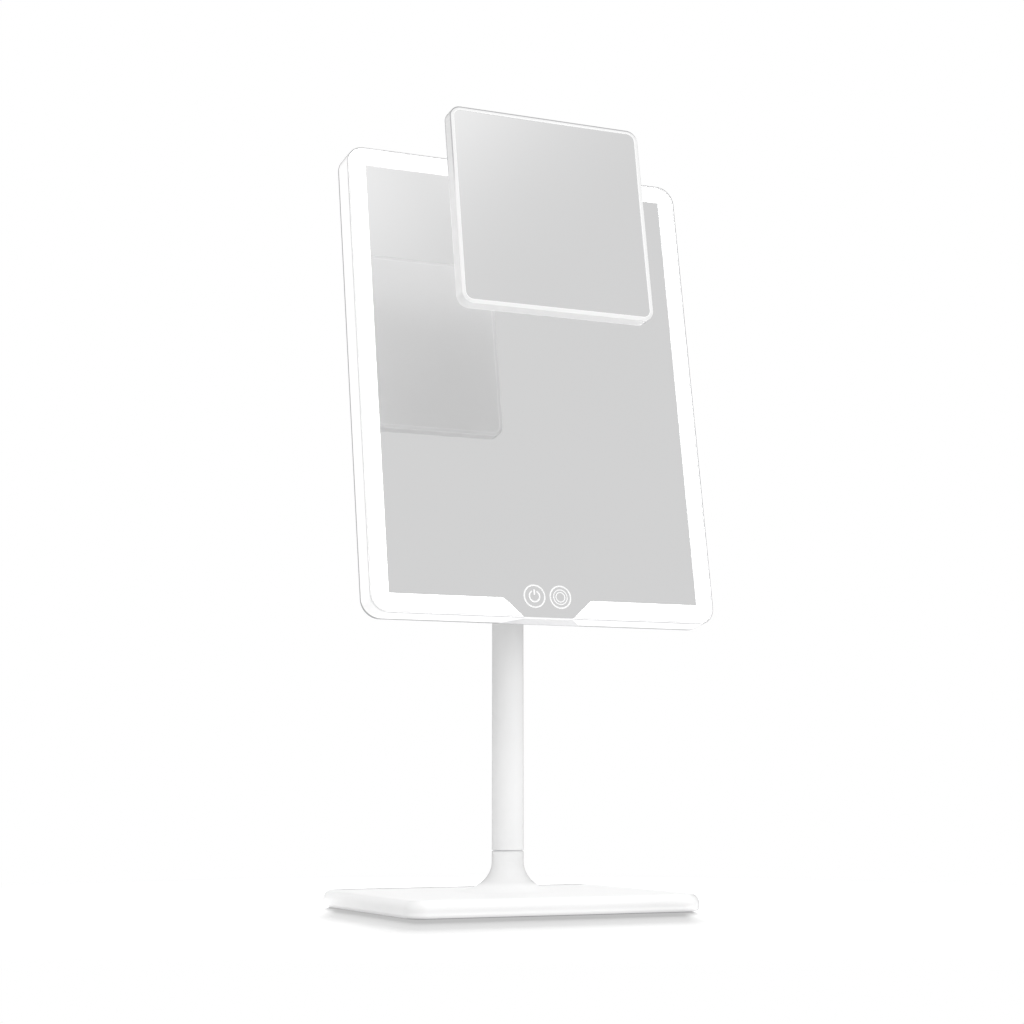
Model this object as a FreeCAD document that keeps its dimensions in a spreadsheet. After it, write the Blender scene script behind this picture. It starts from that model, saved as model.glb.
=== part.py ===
import FreeCAD, Part
import os
import Sketcher
from FreeCAD import Placement, Rotation, Vector

# A lighted table mirror: a rectangular head with a lit border tilts on a slim post, the post turns on a flat
# weighted base, and a square magnifier held by magnets lifts off the front. Millimetres, +Z up, the front
# faces -Y, and the origin lies on the ground under the post. The head and the magnifier are drawn flat, X
# across, Y up the glass and Z out of its front, and are then stood up and leaned back.

doc = FreeCAD.newDocument("lighted_mirror")
sheet = doc.addObject("Spreadsheet::Sheet", "Dim")

SIZES = {
    "head housing": {
        "head_width": 210, "head_height": 271.6, "head_depth": 15.2, "head_corner": 10.6,
        "side_wall": 2, "back_wall": 2, "front_lip": 0.8, "front_edge": 0.4, "back_edge": 1.2,
        "lean": 9.51,
    },
    "light frame and mirror pane": {
        "band_width": 10.9, "panel_thick": 3, "panel_gap": 0.1,
        "tongue_top": 53.2, "tongue_foot": 29.2, "tongue_round": 2.5,
    },
    "inlay in the bottom wall": {
        "inlay_front": 30, "inlay_back": 50, "inlay_thick": 0.6, "inlay_margin": 0.6,
    },
    "carrier tray and its tape": {
        "tape_thick": 0.5, "tape_width": 14, "tray_plate": 2, "tray_flange": 1.2,
        "skirt_wall": 1.5, "skirt_inset": 1, "tray_gap": 0.2,
        "keeper_gap": 2, "keeper_foot": 21, "keeper_corner": 6,
    },
    "tray screws and their bosses": {
        "boss_inset": 21, "boss_end": 35.5, "boss_radius": 3.2,
        "tray_screw_radius": 1.25, "tray_screw_head": 2.6, "tray_screw_head_thick": 1.2,
        "tray_screw_length": 8, "screw_gap": 0.05,
    },
    "light boards": {
        "board_width": 7, "board_thick": 1.2, "long_board_end": 14.7, "board_end": 14, "tongue_clear": 7,
        "chip_length": 3.5, "chip_width": 2.8, "chip_thick": 1, "chip_margin": 6,
        "long_chips": 16, "top_chips": 12, "foot_chips": 4,
    },
    "touch controls": {
        "touch_across": 15.8, "touch_up": 12.65, "touch_pad_radius": 4.5, "touch_hole_gap": 0.5,
        "control_width": 26, "control_height": 18, "control_thick": 1.2, "control_drop": 7.6,
    },
    "battery and charging": {
        "battery_width": 70, "battery_height": 62, "battery_thick": 6, "battery_corner": 3,
        "battery_drop": 24, "foam_margin": 8,
        "charge_width": 26, "charge_height": 18, "charge_thick": 1.2, "charge_drop": 70,
        "socket_width": 8.94, "socket_height": 3.26, "socket_corner": 1.2, "socket_wall": 0.3,
        "socket_floor": 1.5, "socket_blade_width": 6.7, "socket_blade_thick": 0.7, "socket_blade_inset": 1,
        "socket_sunk": 0.4, "socket_gap": 0.2,
    },
    "tilt hinge": {
        "pivot_height": 288.2, "pivot_setback": 17.3, "pin_radius": 3, "press_gap": 0.02, "running_gap": 0.05,
        "bracket_width": 44, "bracket_height": 40, "bracket_thick": 3, "bracket_corner": 6,
        "bracket_edge": 0.8, "ear_thick": 5, "ear_round": 7, "ear_root": 13,
        "knuckle_width": 12, "knuckle_round": 6.2,
        "washer_thick": 0.8, "washer_radius": 6, "washer_gap": 0.15,
        "cap_radius": 5.5, "cap_thick": 1.6, "cap_edge": 0.8,
        "bracket_screw_across": 34, "bracket_screw_up": 28, "bracket_screw_radius": 1.5,
        "bracket_screw_head": 3, "bracket_screw_head_thick": 1.6, "bracket_screw_bite": 2.4,
    },
    "post": {
        "post_radius": 8.95, "post_wall": 1.2, "collar_height": 5, "collar_edge": 0.5, "shoulder_gap": 3.6,
        "plug_depth": 20, "fit_gap": 0.04,
    },
    "swivel": {
        "groove_height": 0.9, "groove_depth": 0.6, "groove_rise": 22.25, "spindle_radius": 4,
        "flange_radius": 9, "flange_thick": 2, "bush_length": 22, "ring_gap": 0.15,
        "nut_flats": 11, "nut_thick": 4, "nut_washer_radius": 6.5, "nut_washer_thick": 1, "spindle_end": 1.5,
    },
    "base": {
        "base_width": 176.2, "base_depth": 142, "base_thick": 9.5, "base_corner": 12, "base_edge": 5,
        "base_foot_edge": 2,
        "flare_upper": 14, "flare_turn": 50, "flare_height": 16.7,
        "cover_roof": 2.5, "rim_width": 9, "recess_inset": 3.2, "recess_gap": 0.1, "ballast_gap": 0.2,
        "plate_thick": 1.2, "pad_thick": 0.8, "pad_proud": 0.4, "pad_inset": 0.6,
        "base_screw_up": 80, "base_screw_inset": 6.6, "base_screw_radius": 1.3, "base_screw_head": 2.6,
        "base_screw_head_thick": 0.8, "base_screw_length": 5,
    },
    "magnifier": {
        "magnifier_side": 110.8, "magnifier_corner": 6.3, "magnifier_depth": 8.2, "magnifier_rim": 2.1,
        "magnifier_edge": 0.7, "magnifier_across": -30.4, "magnifier_rise": 58, "magnifier_out": 93.5,
        "magnifier_gap": 0.1, "magnifier_back": 4, "magnifier_tape": 0.6, "magnifier_tape_width": 8,
        "mirror_curve": 3000, "mirror_sunk": 0.3,
        "magnet_radius": 5, "magnet_thick": 2, "magnet_inset": 13.4, "magnet_gap": 0.05,
    },
    "cuts, and how near an edge must lie to be found": {"overrun": 1, "edge_search": 0.01},
}

row = 0
for group, sizes in SIZES.items():
    row += 1
    sheet.set(f"A{row}", group)
    for name, size in sizes.items():
        row += 1
        sheet.set(f"A{row}", name)
        sheet.set(f"B{row}", str(size))
        sheet.setAlias(f"B{row}", name)
doc.recompute()

nodes = []


def value(formula):
    """What a formula of the sheet's sizes comes to."""
    return float(sheet.evalExpression(formula))


def new_piece(name, place):
    """An empty body at the place where its group of pieces stands: three formulas and the turn about X."""
    body = doc.addObject("PartDesign::Body", name)
    body.Label = name
    across, along, up, turn = place
    # The axis of the turn is kept only while there is some turn, so one is given before its own is set.
    body.Placement = Placement(Vector(), Rotation(Vector(1, 0, 0), 90))
    body.setExpression("Placement.Base.x", across)
    body.setExpression("Placement.Base.y", along)
    body.setExpression("Placement.Base.z", up)
    body.setExpression("Placement.Rotation.Angle", turn)
    nodes.append(body)
    return body


def disc(radius, across="0", up="0"):
    """A circle outline."""
    return [(across, up, radius)]


def discs(radius, places):
    """A circle outline at each of the places."""
    return [disc(radius, across, up) for across, up in places]


def rounded(width, height, radius, across="0", up="0"):
    """A rectangle outline with round corners."""
    outline = []
    for side_x, side_y in ((1, -1), (1, 1), (-1, 1), (-1, -1)):
        far_x = f"{across} + {side_x} * ({width}) / 2"
        far_y = f"{up} + {side_y} * ({height}) / 2"
        near_x = f"{far_x} - {side_x} * ({radius})"
        near_y = f"{far_y} - {side_y} * ({radius})"
        below = (near_x, far_y)
        beside = (far_x, near_y)
        start, end = (below, beside) if side_x * side_y < 0 else (beside, below)
        outline += [(*start, near_x, near_y), end]
    return outline


def block(width, height, across="0", up="0"):
    """A rectangle outline with sharp corners."""
    corners = ((-1, -1), (1, -1), (1, 1), (-1, 1))
    return [(f"{across} + {x} * ({width}) / 2", f"{up} + {y} * ({height}) / 2") for x, y in corners]


def draw_outline(sketch, outline):
    """Adds one closed outline. A point is held by two sizes, and a round stretch by its centre and its start.

    The end of a round stretch lies on its circle already, so one size is enough to hold it there.
    """
    if len(outline[0]) == 3:
        across, up, radius = outline[0]
        centre = Vector(value(across), value(up), 0)
        circle = sketch.addGeometry(Part.Circle(centre, Vector(0, 0, 1), value(radius)), False)
        hold_point(sketch, circle, 3, across, up)
        hold(sketch, Sketcher.Constraint("Radius", circle, value(radius)), radius)
        return
    points = [Vector(value(entry[0]), value(entry[1]), 0) for entry in outline]
    centres = [Vector(value(entry[2]), value(entry[3]), 0) if len(entry) == 4 else None for entry in outline]
    ends = []
    for centre, start, end in zip(centres, points, points[1:] + points[:1]):
        if centre is None:
            sketch.addGeometry(Part.LineSegment(start, end), False)
            ends.append((1, 2))
            continue
        middle = centre + ((start + end) / 2 - centre).normalize() * (start - centre).Length
        # A sketch counts the ends of an arc the left-hand way round.
        leftwards = (start - centre).cross(end - centre).z > 0
        sketch.addGeometry(Part.Arc(*((start, middle, end) if leftwards else (end, middle, start))), False)
        ends.append((1, 2) if leftwards else (2, 1))
    first = sketch.GeometryCount - len(outline)
    for place, entry in enumerate(outline):
        edge = first + place
        following = (place + 1) % len(outline)
        meet = ("Coincident", edge, ends[place][1], first + following, ends[following][0])
        sketch.addConstraint(Sketcher.Constraint(*meet))
        across, up = entry[:2]
        if centres[place - 1] is not None:
            spoke = points[place] - centres[place - 1]
            across, up = (across, None) if abs(spoke.x) < abs(spoke.y) else (None, up)
        hold_point(sketch, edge, ends[place][0], across, up)
        if centres[place] is not None:
            hold_point(sketch, edge, 3, entry[2], entry[3])


def hold(sketch, constraint, formula):
    """Adds a constraint and ties its size to the sheet."""
    number = sketch.addConstraint(constraint)
    sketch.setExpression(f"Constraints[{number}]", formula)


def hold_point(sketch, edge, end, across, up):
    """Holds a point of the sketch at its distances from the origin, where they are given."""
    for kind, formula in (("DistanceX", across), ("DistanceY", up)):
        if formula:
            hold(sketch, Sketcher.Constraint(kind, -1, 1, edge, end, value(formula)), formula)


def new_sketch(body, outlines, plane, offset):
    """A sketch of closed outlines on one of the body's own planes, moved along the plane's normal."""
    sketch = body.newObject("Sketcher::SketchObject", f"{body.Label}_outline")
    support = next(feature for feature in body.Origin.OriginFeatures if feature.Role == plane)
    sketch.AttachmentSupport = [(support, "")]
    sketch.MapMode = "FlatFace"
    sketch.setExpression("AttachmentOffset.Base.z", offset)
    for outline in outlines:
        draw_outline(sketch, outline)
    sketch.Visibility = False
    return sketch


def add(body, outlines, low, high, plane="XY_Plane"):
    """Adds a prism of the outlines from low to high along the plane's normal."""
    pad = body.newObject("PartDesign::Pad", f"{body.Label}_pad")
    pad.Profile = new_sketch(body, outlines, plane, low)
    pad.setExpression("Length", f"({high}) - ({low})")
    doc.recompute()
    return pad


def cut(body, outlines, low, high, plane="XY_Plane"):
    """Removes a prism of the outlines from low to high along the plane's normal."""
    before = body.Shape.Volume
    pocket = body.newObject("PartDesign::Pocket", f"{body.Label}_pocket")
    pocket.Profile = new_sketch(body, outlines, plane, high)
    pocket.setExpression("Length", f"({high}) - ({low})")
    doc.recompute()
    if not body.Shape.Volume < before:
        raise ValueError(f"a pocket of {body.Label} removes nothing")
    return pocket


def spin(body, outline, kind="PartDesign::Revolution"):
    """Turns an outline of radius and height all the way round the body's Z axis, to add or to remove it."""
    before = body.Shape.Volume if body.Tip else 0
    turned = body.newObject(kind, f"{body.Label}_turned")
    sketch = new_sketch(body, [outline], "XZ_Plane", "0")
    turned.Profile = sketch
    turned.ReferenceAxis = (sketch, ["V_Axis"])
    turned.Angle = 360
    doc.recompute()
    if kind == "PartDesign::Groove" and not body.Shape.Volume < before:
        raise ValueError(f"a groove of {body.Label} removes nothing")
    return turned


def round_edges(body, radius, wanted):
    """Rounds the edges of the body's last feature that the test picks out."""
    base = body.Tip
    names = [f"Edge{number}" for number, edge in enumerate(base.Shape.Edges, 1) if wanted(edge)]
    if not names:
        raise ValueError(f"{body.Label} has no edge to round")
    fillet = body.newObject("PartDesign::Fillet", f"{body.Label}_round")
    fillet.Base = (base, names)
    fillet.setExpression("Radius", radius)
    doc.recompute()
    return fillet


def level_at(height):
    """Picks the edges that lie at one height of the body."""
    level = value(height)
    small = value("Dim.edge_search")
    return lambda edge: max(abs(edge.BoundBox.ZMin - level), abs(edge.BoundBox.ZMax - level)) < small


# Where each group of pieces stands
TO_PIVOT = "(Dim.head_depth + Dim.pivot_setback)"
HEAD_ALONG = f"(-{TO_PIVOT} * cos(Dim.lean))"
HEAD_UP = f"(Dim.pivot_height + {TO_PIVOT} * sin(Dim.lean))"
STAND = ("0", "0", "0", "0")
HEAD = ("0", HEAD_ALONG, HEAD_UP, "90 - Dim.lean")
MAGNIFIER = (
    "Dim.magnifier_across",
    f"{HEAD_ALONG} + Dim.magnifier_rise * sin(Dim.lean) - Dim.magnifier_out * cos(Dim.lean)",
    f"{HEAD_UP} + Dim.magnifier_rise * cos(Dim.lean) + Dim.magnifier_out * sin(Dim.lean)",
    "90 - Dim.lean",
)

# Levels in the head, counted from the front of the glass
HEAD_BACK = "-Dim.head_depth"
HEAD_FLOOR = "(-Dim.head_depth + Dim.back_wall)"
PANEL_BACK = "-Dim.panel_thick"
TRAY_FRONT = "(-Dim.panel_thick - Dim.tape_thick)"
TRAY_BACK = f"({TRAY_FRONT} - Dim.tray_plate)"
HEAD_FOOT = "(-Dim.head_height / 2)"
TOUCH_LEVEL = f"({HEAD_FOOT} + Dim.touch_up)"
TOUCH_PLACES = [(f"{side} * Dim.touch_across / 2", TOUCH_LEVEL) for side in (-1, 1)]
BOSS_PLACES = [
    (f"{side} * (Dim.head_width / 2 - Dim.boss_inset)", f"{step} * (Dim.head_height / 2 - Dim.boss_end)")
    for side in (-1, 1) for step in (-1, 0, 1)
]


def tongued(inset, foot_inset):
    """The mirror's outline: a rectangle with a tongue whose slanting sides run down to the head's foot.

    The inset draws the outline in all round, and the foot inset lifts the tongue's end from the head's foot.
    """
    half_wide = f"(Dim.head_width / 2 - Dim.band_width - ({inset}))"
    half_tall = f"(Dim.head_height / 2 - Dim.band_width - ({inset}))"
    # The slant runs in by the difference of the two half widths over the height of the band.
    slant = "((Dim.tongue_top - Dim.tongue_foot) / 2 / Dim.band_width)"
    shift = f"(({inset}) * (sqrt(1 + {slant} ^ 2) - {slant}))"
    shoulder = f"(Dim.tongue_top / 2 - {shift})"
    end = f"(Dim.tongue_foot / 2 - ({inset}) * sqrt(1 + {slant} ^ 2) + ({foot_inset}) * {slant})"
    foot = f"({HEAD_FOOT} + ({foot_inset}))"
    return [
        (f"-{half_wide}", f"-{half_tall}"), (f"-{shoulder}", f"-{half_tall}"), (f"-{end}", foot),
        (end, foot), (shoulder, f"-{half_tall}"), (half_wide, f"-{half_tall}"),
        (half_wide, half_tall), (f"-{half_wide}", half_tall),
    ]


def head_outline(inset):
    """The head's outer outline, drawn in by the inset."""
    return rounded(
        f"Dim.head_width - 2 * ({inset})", f"Dim.head_height - 2 * ({inset})", f"Dim.head_corner - ({inset})"
    )


# Rear housing: one moulded tray makes the back and the four side walls. A thin lip at the front hides the
# edge of the light frame, which sits on the shoulder behind it, and six bosses take the screws of the tray.
housing = new_piece("rear_housing", HEAD)
add(housing, [head_outline("0")], HEAD_BACK, "0")
round_edges(housing, "Dim.back_edge", level_at(HEAD_BACK))
round_edges(housing, "Dim.front_edge", level_at("0"))
cut(housing, [head_outline("Dim.front_lip")], PANEL_BACK, "Dim.overrun")
cut(housing, [head_outline("Dim.side_wall")], HEAD_FLOOR, f"{PANEL_BACK} + Dim.overrun")
add(housing, discs("Dim.boss_radius", BOSS_PLACES), f"{HEAD_FLOOR} - Dim.back_wall / 2", TRAY_BACK)
BOSS_HOLE = "Dim.tray_screw_radius + Dim.screw_gap"
TRAY_SCREW_TIP = f"({TRAY_FRONT} - Dim.tray_screw_length)"
cut(housing, discs(BOSS_HOLE, BOSS_PLACES), TRAY_SCREW_TIP, f"{TRAY_BACK} + Dim.overrun")
BRACKET_SCREWS = [
    (f"{side} * Dim.bracket_screw_across / 2", f"{step} * Dim.bracket_screw_up / 2")
    for side in (-1, 1) for step in (-1, 1)
]
bracket_holes = discs("Dim.bracket_screw_radius + Dim.screw_gap", BRACKET_SCREWS)
cut(housing, bracket_holes, f"{HEAD_BACK} - Dim.overrun", f"{HEAD_FLOOR} + Dim.overrun")
SOCKET_DOWN = "-Dim.charge_drop"


def socket_outline(margin):
    """The charging socket's flat oval outline, widened by the margin."""
    width = f"Dim.socket_width + 2 * ({margin})"
    height = f"Dim.socket_height + 2 * ({margin})"
    return rounded(width, height, f"Dim.socket_corner + ({margin})", up=SOCKET_DOWN)


cut(housing, [socket_outline("Dim.socket_gap")], f"{HEAD_BACK} - Dim.overrun", f"{HEAD_FLOOR} + Dim.overrun")


def inlay_outline(margin):
    """The inlay's trapezoid in the bottom wall, wider at the back, drawn in by the margin."""
    front = f"-Dim.front_lip - ({margin})"
    back = f"-Dim.head_depth + Dim.back_edge + Dim.inlay_margin + ({margin})"
    near = f"(Dim.inlay_front / 2 - ({margin}))"
    far = f"(Dim.inlay_back / 2 - ({margin}))"
    return [(f"-{near}", front), (f"-{far}", back), (far, back), (near, front)]


FOOT_SIDE = "Dim.head_height / 2"
INLAY_BED = f"{FOOT_SIDE} - Dim.inlay_thick"
cut(housing, [inlay_outline("0")], INLAY_BED, f"{FOOT_SIDE} + Dim.overrun", "XZ_Plane")

# Bottom inlay: a thin grey plate let into the bottom wall below the tongue
inlay = new_piece("bottom_inlay", HEAD)
add(inlay, [inlay_outline("Dim.press_gap")], INLAY_BED, FOOT_SIDE, "XZ_Plane")


def shoulder_at(inset):
    """Picks the two edges, along the thickness, where the tongue leaves the mirror's foot."""
    level = value(f"Dim.head_height / 2 - Dim.band_width - ({inset})")
    reach = value("Dim.tongue_top")
    small = value("Dim.edge_search")

    def wanted(edge):
        box = edge.BoundBox
        return abs(box.XMin) < reach and max(box.XLength, box.YLength, abs(box.YMin + level)) < small

    return wanted


# Light frame: the frosted border that the boards light from behind, open at the foot where the tongue passes
light_frame = new_piece("light_frame", HEAD)
add(light_frame, [head_outline("Dim.front_lip + Dim.panel_gap")], PANEL_BACK, "0")
cut(light_frame, [tongued("0", "0")], f"{PANEL_BACK} - Dim.overrun", "Dim.overrun")
round_edges(light_frame, "Dim.tongue_round - Dim.panel_gap", shoulder_at("0"))

# Mirror pane: silvered sheet cut to its tongue, level with the light frame
pane = new_piece("mirror_pane", HEAD)
add(pane, [tongued("Dim.panel_gap", "Dim.front_lip + Dim.panel_gap")], PANEL_BACK, "0")
round_edges(pane, "Dim.tongue_round", shoulder_at("Dim.panel_gap"))

# Carrier tray: a white plate behind the pane. Its skirt stands on the floor of the housing, between the
# battery and the lights.
tray = new_piece("carrier_tray", HEAD)
SKIRT_FOOT = "Dim.side_wall + Dim.tray_gap"
add(tray, [tongued("-Dim.tray_flange", SKIRT_FOOT)], TRAY_BACK, TRAY_FRONT)
add(tray, [tongued("Dim.skirt_inset", SKIRT_FOOT)], HEAD_FLOOR, TRAY_BACK)
INSIDE = "Dim.skirt_inset + Dim.skirt_wall"
cut(tray, [tongued(INSIDE, f"{SKIRT_FOOT} + Dim.skirt_wall")], f"{HEAD_FLOOR} - Dim.overrun", TRAY_BACK)
touch_holes = discs("Dim.touch_pad_radius + Dim.touch_hole_gap", TOUCH_PLACES)
tray_holes = discs(BOSS_HOLE, BOSS_PLACES) + touch_holes
cut(tray, tray_holes, f"{TRAY_BACK} - Dim.overrun", f"{TRAY_FRONT} + Dim.overrun")
head_seats = discs("Dim.tray_screw_head + Dim.screw_gap", BOSS_PLACES)
TRAY_SCREW_SEAT = f"{TRAY_FRONT} - Dim.tray_screw_head_thick"
cut(tray, head_seats, TRAY_SCREW_SEAT, f"{TRAY_FRONT} + Dim.overrun")

# Tray screws: six, sunk level with the tray
tray_screws = new_piece("tray_screws", HEAD)
add(tray_screws, discs("Dim.tray_screw_head", BOSS_PLACES), TRAY_SCREW_SEAT, TRAY_FRONT)
screw_shanks = discs("Dim.tray_screw_radius", BOSS_PLACES)
add(tray_screws, screw_shanks, TRAY_SCREW_TIP, f"{TRAY_FRONT} - Dim.tray_screw_head_thick / 2")

# Pane tape: foam tape round the edge of the tray, which holds the pane and the light frame's inner edge
tape = new_piece("pane_tape", HEAD)
add(tape, [tongued("-Dim.tray_flange", SKIRT_FOOT)], TRAY_FRONT, PANEL_BACK)
TAPE_REACH = "2 * (Dim.band_width - Dim.tray_flange + Dim.tape_width)"
WINDOW_WIDTH = f"(Dim.head_width - {TAPE_REACH})"
WINDOW_HEIGHT = f"(Dim.head_height - {TAPE_REACH})"
window = block(WINDOW_WIDTH, WINDOW_HEIGHT)
cut(tape, [window] + touch_holes, f"{TRAY_FRONT} - Dim.overrun", f"{PANEL_BACK} + Dim.overrun")

# Keeper plate: thin steel behind the pane, which the magnifier's magnets grip through the mirror
keeper = new_piece("keeper_plate", HEAD)
KEEPER_WIDTH = f"{WINDOW_WIDTH} - 2 * Dim.keeper_gap"
KEEPER_HEIGHT = f"{WINDOW_HEIGHT} - Dim.keeper_gap - Dim.keeper_foot"
KEEPER_UP = "(Dim.keeper_foot - Dim.keeper_gap) / 2"
keeper_outline = rounded(KEEPER_WIDTH, KEEPER_HEIGHT, "Dim.keeper_corner", up=KEEPER_UP)
add(keeper, [keeper_outline], TRAY_FRONT, PANEL_BACK)

# Light boards: five strips in the channel between the skirt and the side walls, each with its row of lamps
CHANNEL_SIDE = "((Dim.head_width - Dim.band_width - Dim.skirt_inset - Dim.side_wall) / 2)"
CHANNEL_UP = "((Dim.head_height - Dim.band_width - Dim.skirt_inset - Dim.side_wall) / 2)"
LONG_BOARD = "(Dim.head_height - 2 * Dim.long_board_end)"
TOP_BOARD = "(Dim.head_width - 2 * Dim.board_end)"
FOOT_BOARD = "((Dim.head_width - Dim.tongue_top) / 2 - Dim.board_end - Dim.tongue_clear)"
FOOT_ACROSS = "((Dim.head_width + Dim.tongue_top) / 4 - Dim.board_end / 2 + Dim.tongue_clear / 2)"
BOARD_FRONT = f"{HEAD_FLOOR} + Dim.board_thick"
BOARDS = {
    "light_board_left": (f"-{CHANNEL_SIDE}", "0", LONG_BOARD, "Dim.long_chips", "V_Axis"),
    "light_board_right": (CHANNEL_SIDE, "0", LONG_BOARD, "Dim.long_chips", "V_Axis"),
    "light_board_top": ("0", CHANNEL_UP, TOP_BOARD, "Dim.top_chips", "H_Axis"),
    "light_board_foot_left": (f"-{FOOT_ACROSS}", f"-{CHANNEL_UP}", FOOT_BOARD, "Dim.foot_chips", "H_Axis"),
    "light_board_foot_right": (FOOT_ACROSS, f"-{CHANNEL_UP}", FOOT_BOARD, "Dim.foot_chips", "H_Axis"),
}
for name, (across, up, length, count, axis) in BOARDS.items():
    board = new_piece(name, HEAD)
    first_chip = f"-({length}) / 2 + Dim.chip_margin"
    if axis == "V_Axis":
        strip = block("Dim.board_width", length, across, up)
        lamp = block("Dim.chip_width", "Dim.chip_length", across, f"{up} + {first_chip}")
    else:
        strip = block(length, "Dim.board_width", across, up)
        lamp = block("Dim.chip_length", "Dim.chip_width", f"{across} + {first_chip}", up)
    add(board, [strip], HEAD_FLOOR, BOARD_FRONT)
    chip = add(board, [lamp], BOARD_FRONT, f"{BOARD_FRONT} + Dim.chip_thick")
    chips = board.newObject("PartDesign::LinearPattern", f"{name}_chips")
    chips.Originals = [chip]
    chips.Direction = (chip.Profile[0], [axis])
    chips.setExpression("Length", f"({length}) - 2 * Dim.chip_margin")
    chips.setExpression("Occurrences", count)
    board.Tip = chips
    doc.recompute()

# Touch controls: a small board behind the tongue, and two soft pads that carry the touch through to the pane
control = new_piece("control_board", HEAD)
CONTROL_UP = f"{HEAD_FOOT} + Dim.control_drop + Dim.control_height / 2"
CONTROL_BACK = f"({TRAY_BACK} - Dim.control_thick)"
add(control, [block("Dim.control_width", "Dim.control_height", up=CONTROL_UP)], CONTROL_BACK, TRAY_BACK)
touch_pads = new_piece("touch_pads", HEAD)
add(touch_pads, discs("Dim.touch_pad_radius", TOUCH_PLACES), TRAY_BACK, PANEL_BACK)

# Battery: a flat pouch on the housing's floor, pressed down by a foam pad under the tray
BATTERY_FRONT = f"({HEAD_FLOOR} + Dim.battery_thick)"
BATTERY_UP = "((Dim.head_height - Dim.battery_height) / 2 - Dim.battery_drop)"
battery = new_piece("battery_pack", HEAD)
pouch = rounded("Dim.battery_width", "Dim.battery_height", "Dim.battery_corner", up=BATTERY_UP)
add(battery, [pouch], HEAD_FLOOR, BATTERY_FRONT)
round_edges(battery, "Dim.battery_corner / 2", level_at(BATTERY_FRONT))
foam = new_piece("battery_foam", HEAD)
FOAM_WIDTH = "Dim.battery_width - 2 * Dim.foam_margin"
FOAM_HEIGHT = "Dim.battery_height - 2 * Dim.foam_margin"
add(foam, [block(FOAM_WIDTH, FOAM_HEIGHT, up=BATTERY_UP)], BATTERY_FRONT, TRAY_BACK)

# Charging socket: an upright socket on its own board, with its mouth in the back wall
charge = new_piece("charge_board", HEAD)
CHARGE_BACK = f"({TRAY_BACK} - Dim.charge_thick)"
add(charge, [block("Dim.charge_width", "Dim.charge_height", up=SOCKET_DOWN)], CHARGE_BACK, TRAY_BACK)
socket = new_piece("charge_socket", HEAD)
SOCKET_MOUTH = f"({HEAD_BACK} + Dim.socket_sunk)"
SOCKET_FLOOR = f"({CHARGE_BACK} - Dim.socket_floor)"
add(socket, [socket_outline("0")], SOCKET_MOUTH, CHARGE_BACK)
cut(socket, [socket_outline("-Dim.socket_wall")], f"{SOCKET_MOUTH} - Dim.overrun", SOCKET_FLOOR)
blade = block("Dim.socket_blade_width", "Dim.socket_blade_thick", up=SOCKET_DOWN)
add(socket, [blade], f"{SOCKET_MOUTH} + Dim.socket_blade_inset", f"{SOCKET_FLOOR} + Dim.socket_floor / 2")

# Hinge bracket: a cast plate on the back of the head, with two ears that hold the hinge pin
bracket = new_piece("hinge_bracket", HEAD)
PIVOT = f"-{TO_PIVOT}"
BRACKET_BACK = f"({HEAD_BACK} - Dim.bracket_thick)"
bracket_outline = rounded("Dim.bracket_width", "Dim.bracket_height", "Dim.bracket_corner")
add(bracket, [bracket_outline], BRACKET_BACK, HEAD_BACK)
round_edges(bracket, "Dim.bracket_edge", level_at(BRACKET_BACK))
EAR_INNER = "(Dim.knuckle_width / 2 + Dim.washer_gap + Dim.washer_thick)"
EAR_OUTER = f"({EAR_INNER} + Dim.ear_thick)"
EAR_FOOT = f"{HEAD_BACK} - Dim.bracket_thick / 2"
EAR_LEAN = "asin((Dim.ear_root - Dim.ear_round) / Dim.pivot_setback)"
EAR_TURN = f"(Dim.ear_round * cos({EAR_LEAN}))"
EAR_DROP = f"({PIVOT} + Dim.ear_round * sin({EAR_LEAN}))"
ear = [
    (EAR_TURN, EAR_DROP, "0", PIVOT), ("0", f"{PIVOT} - Dim.ear_round", "0", PIVOT),
    (f"-{EAR_TURN}", EAR_DROP), ("-Dim.ear_root", EAR_FOOT), ("Dim.ear_root", EAR_FOOT),
]
add(bracket, [ear], EAR_INNER, EAR_OUTER, "YZ_Plane")
add(bracket, [ear], f"-{EAR_OUTER}", f"-{EAR_INNER}", "YZ_Plane")
pin_hole = disc("Dim.pin_radius + Dim.press_gap", "0", PIVOT)
cut(bracket, [pin_hole], f"-{EAR_OUTER} - Dim.overrun", f"{EAR_OUTER} + Dim.overrun", "YZ_Plane")
BRACKET_BITE = f"{HEAD_BACK} - Dim.bracket_screw_bite"
cut(bracket, bracket_holes, BRACKET_BITE, f"{HEAD_BACK} + Dim.overrun")

# Bracket screws: four, put in from inside the housing
bracket_screws = new_piece("bracket_screws", HEAD)
bracket_heads = discs("Dim.bracket_screw_head", BRACKET_SCREWS)
add(bracket_screws, bracket_heads, HEAD_FLOOR, f"{HEAD_FLOOR} + Dim.bracket_screw_head_thick")
bracket_shanks = discs("Dim.bracket_screw_radius", BRACKET_SCREWS)
add(bracket_screws, bracket_shanks, BRACKET_BITE, f"{HEAD_FLOOR} + Dim.bracket_screw_head_thick / 2")

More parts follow.
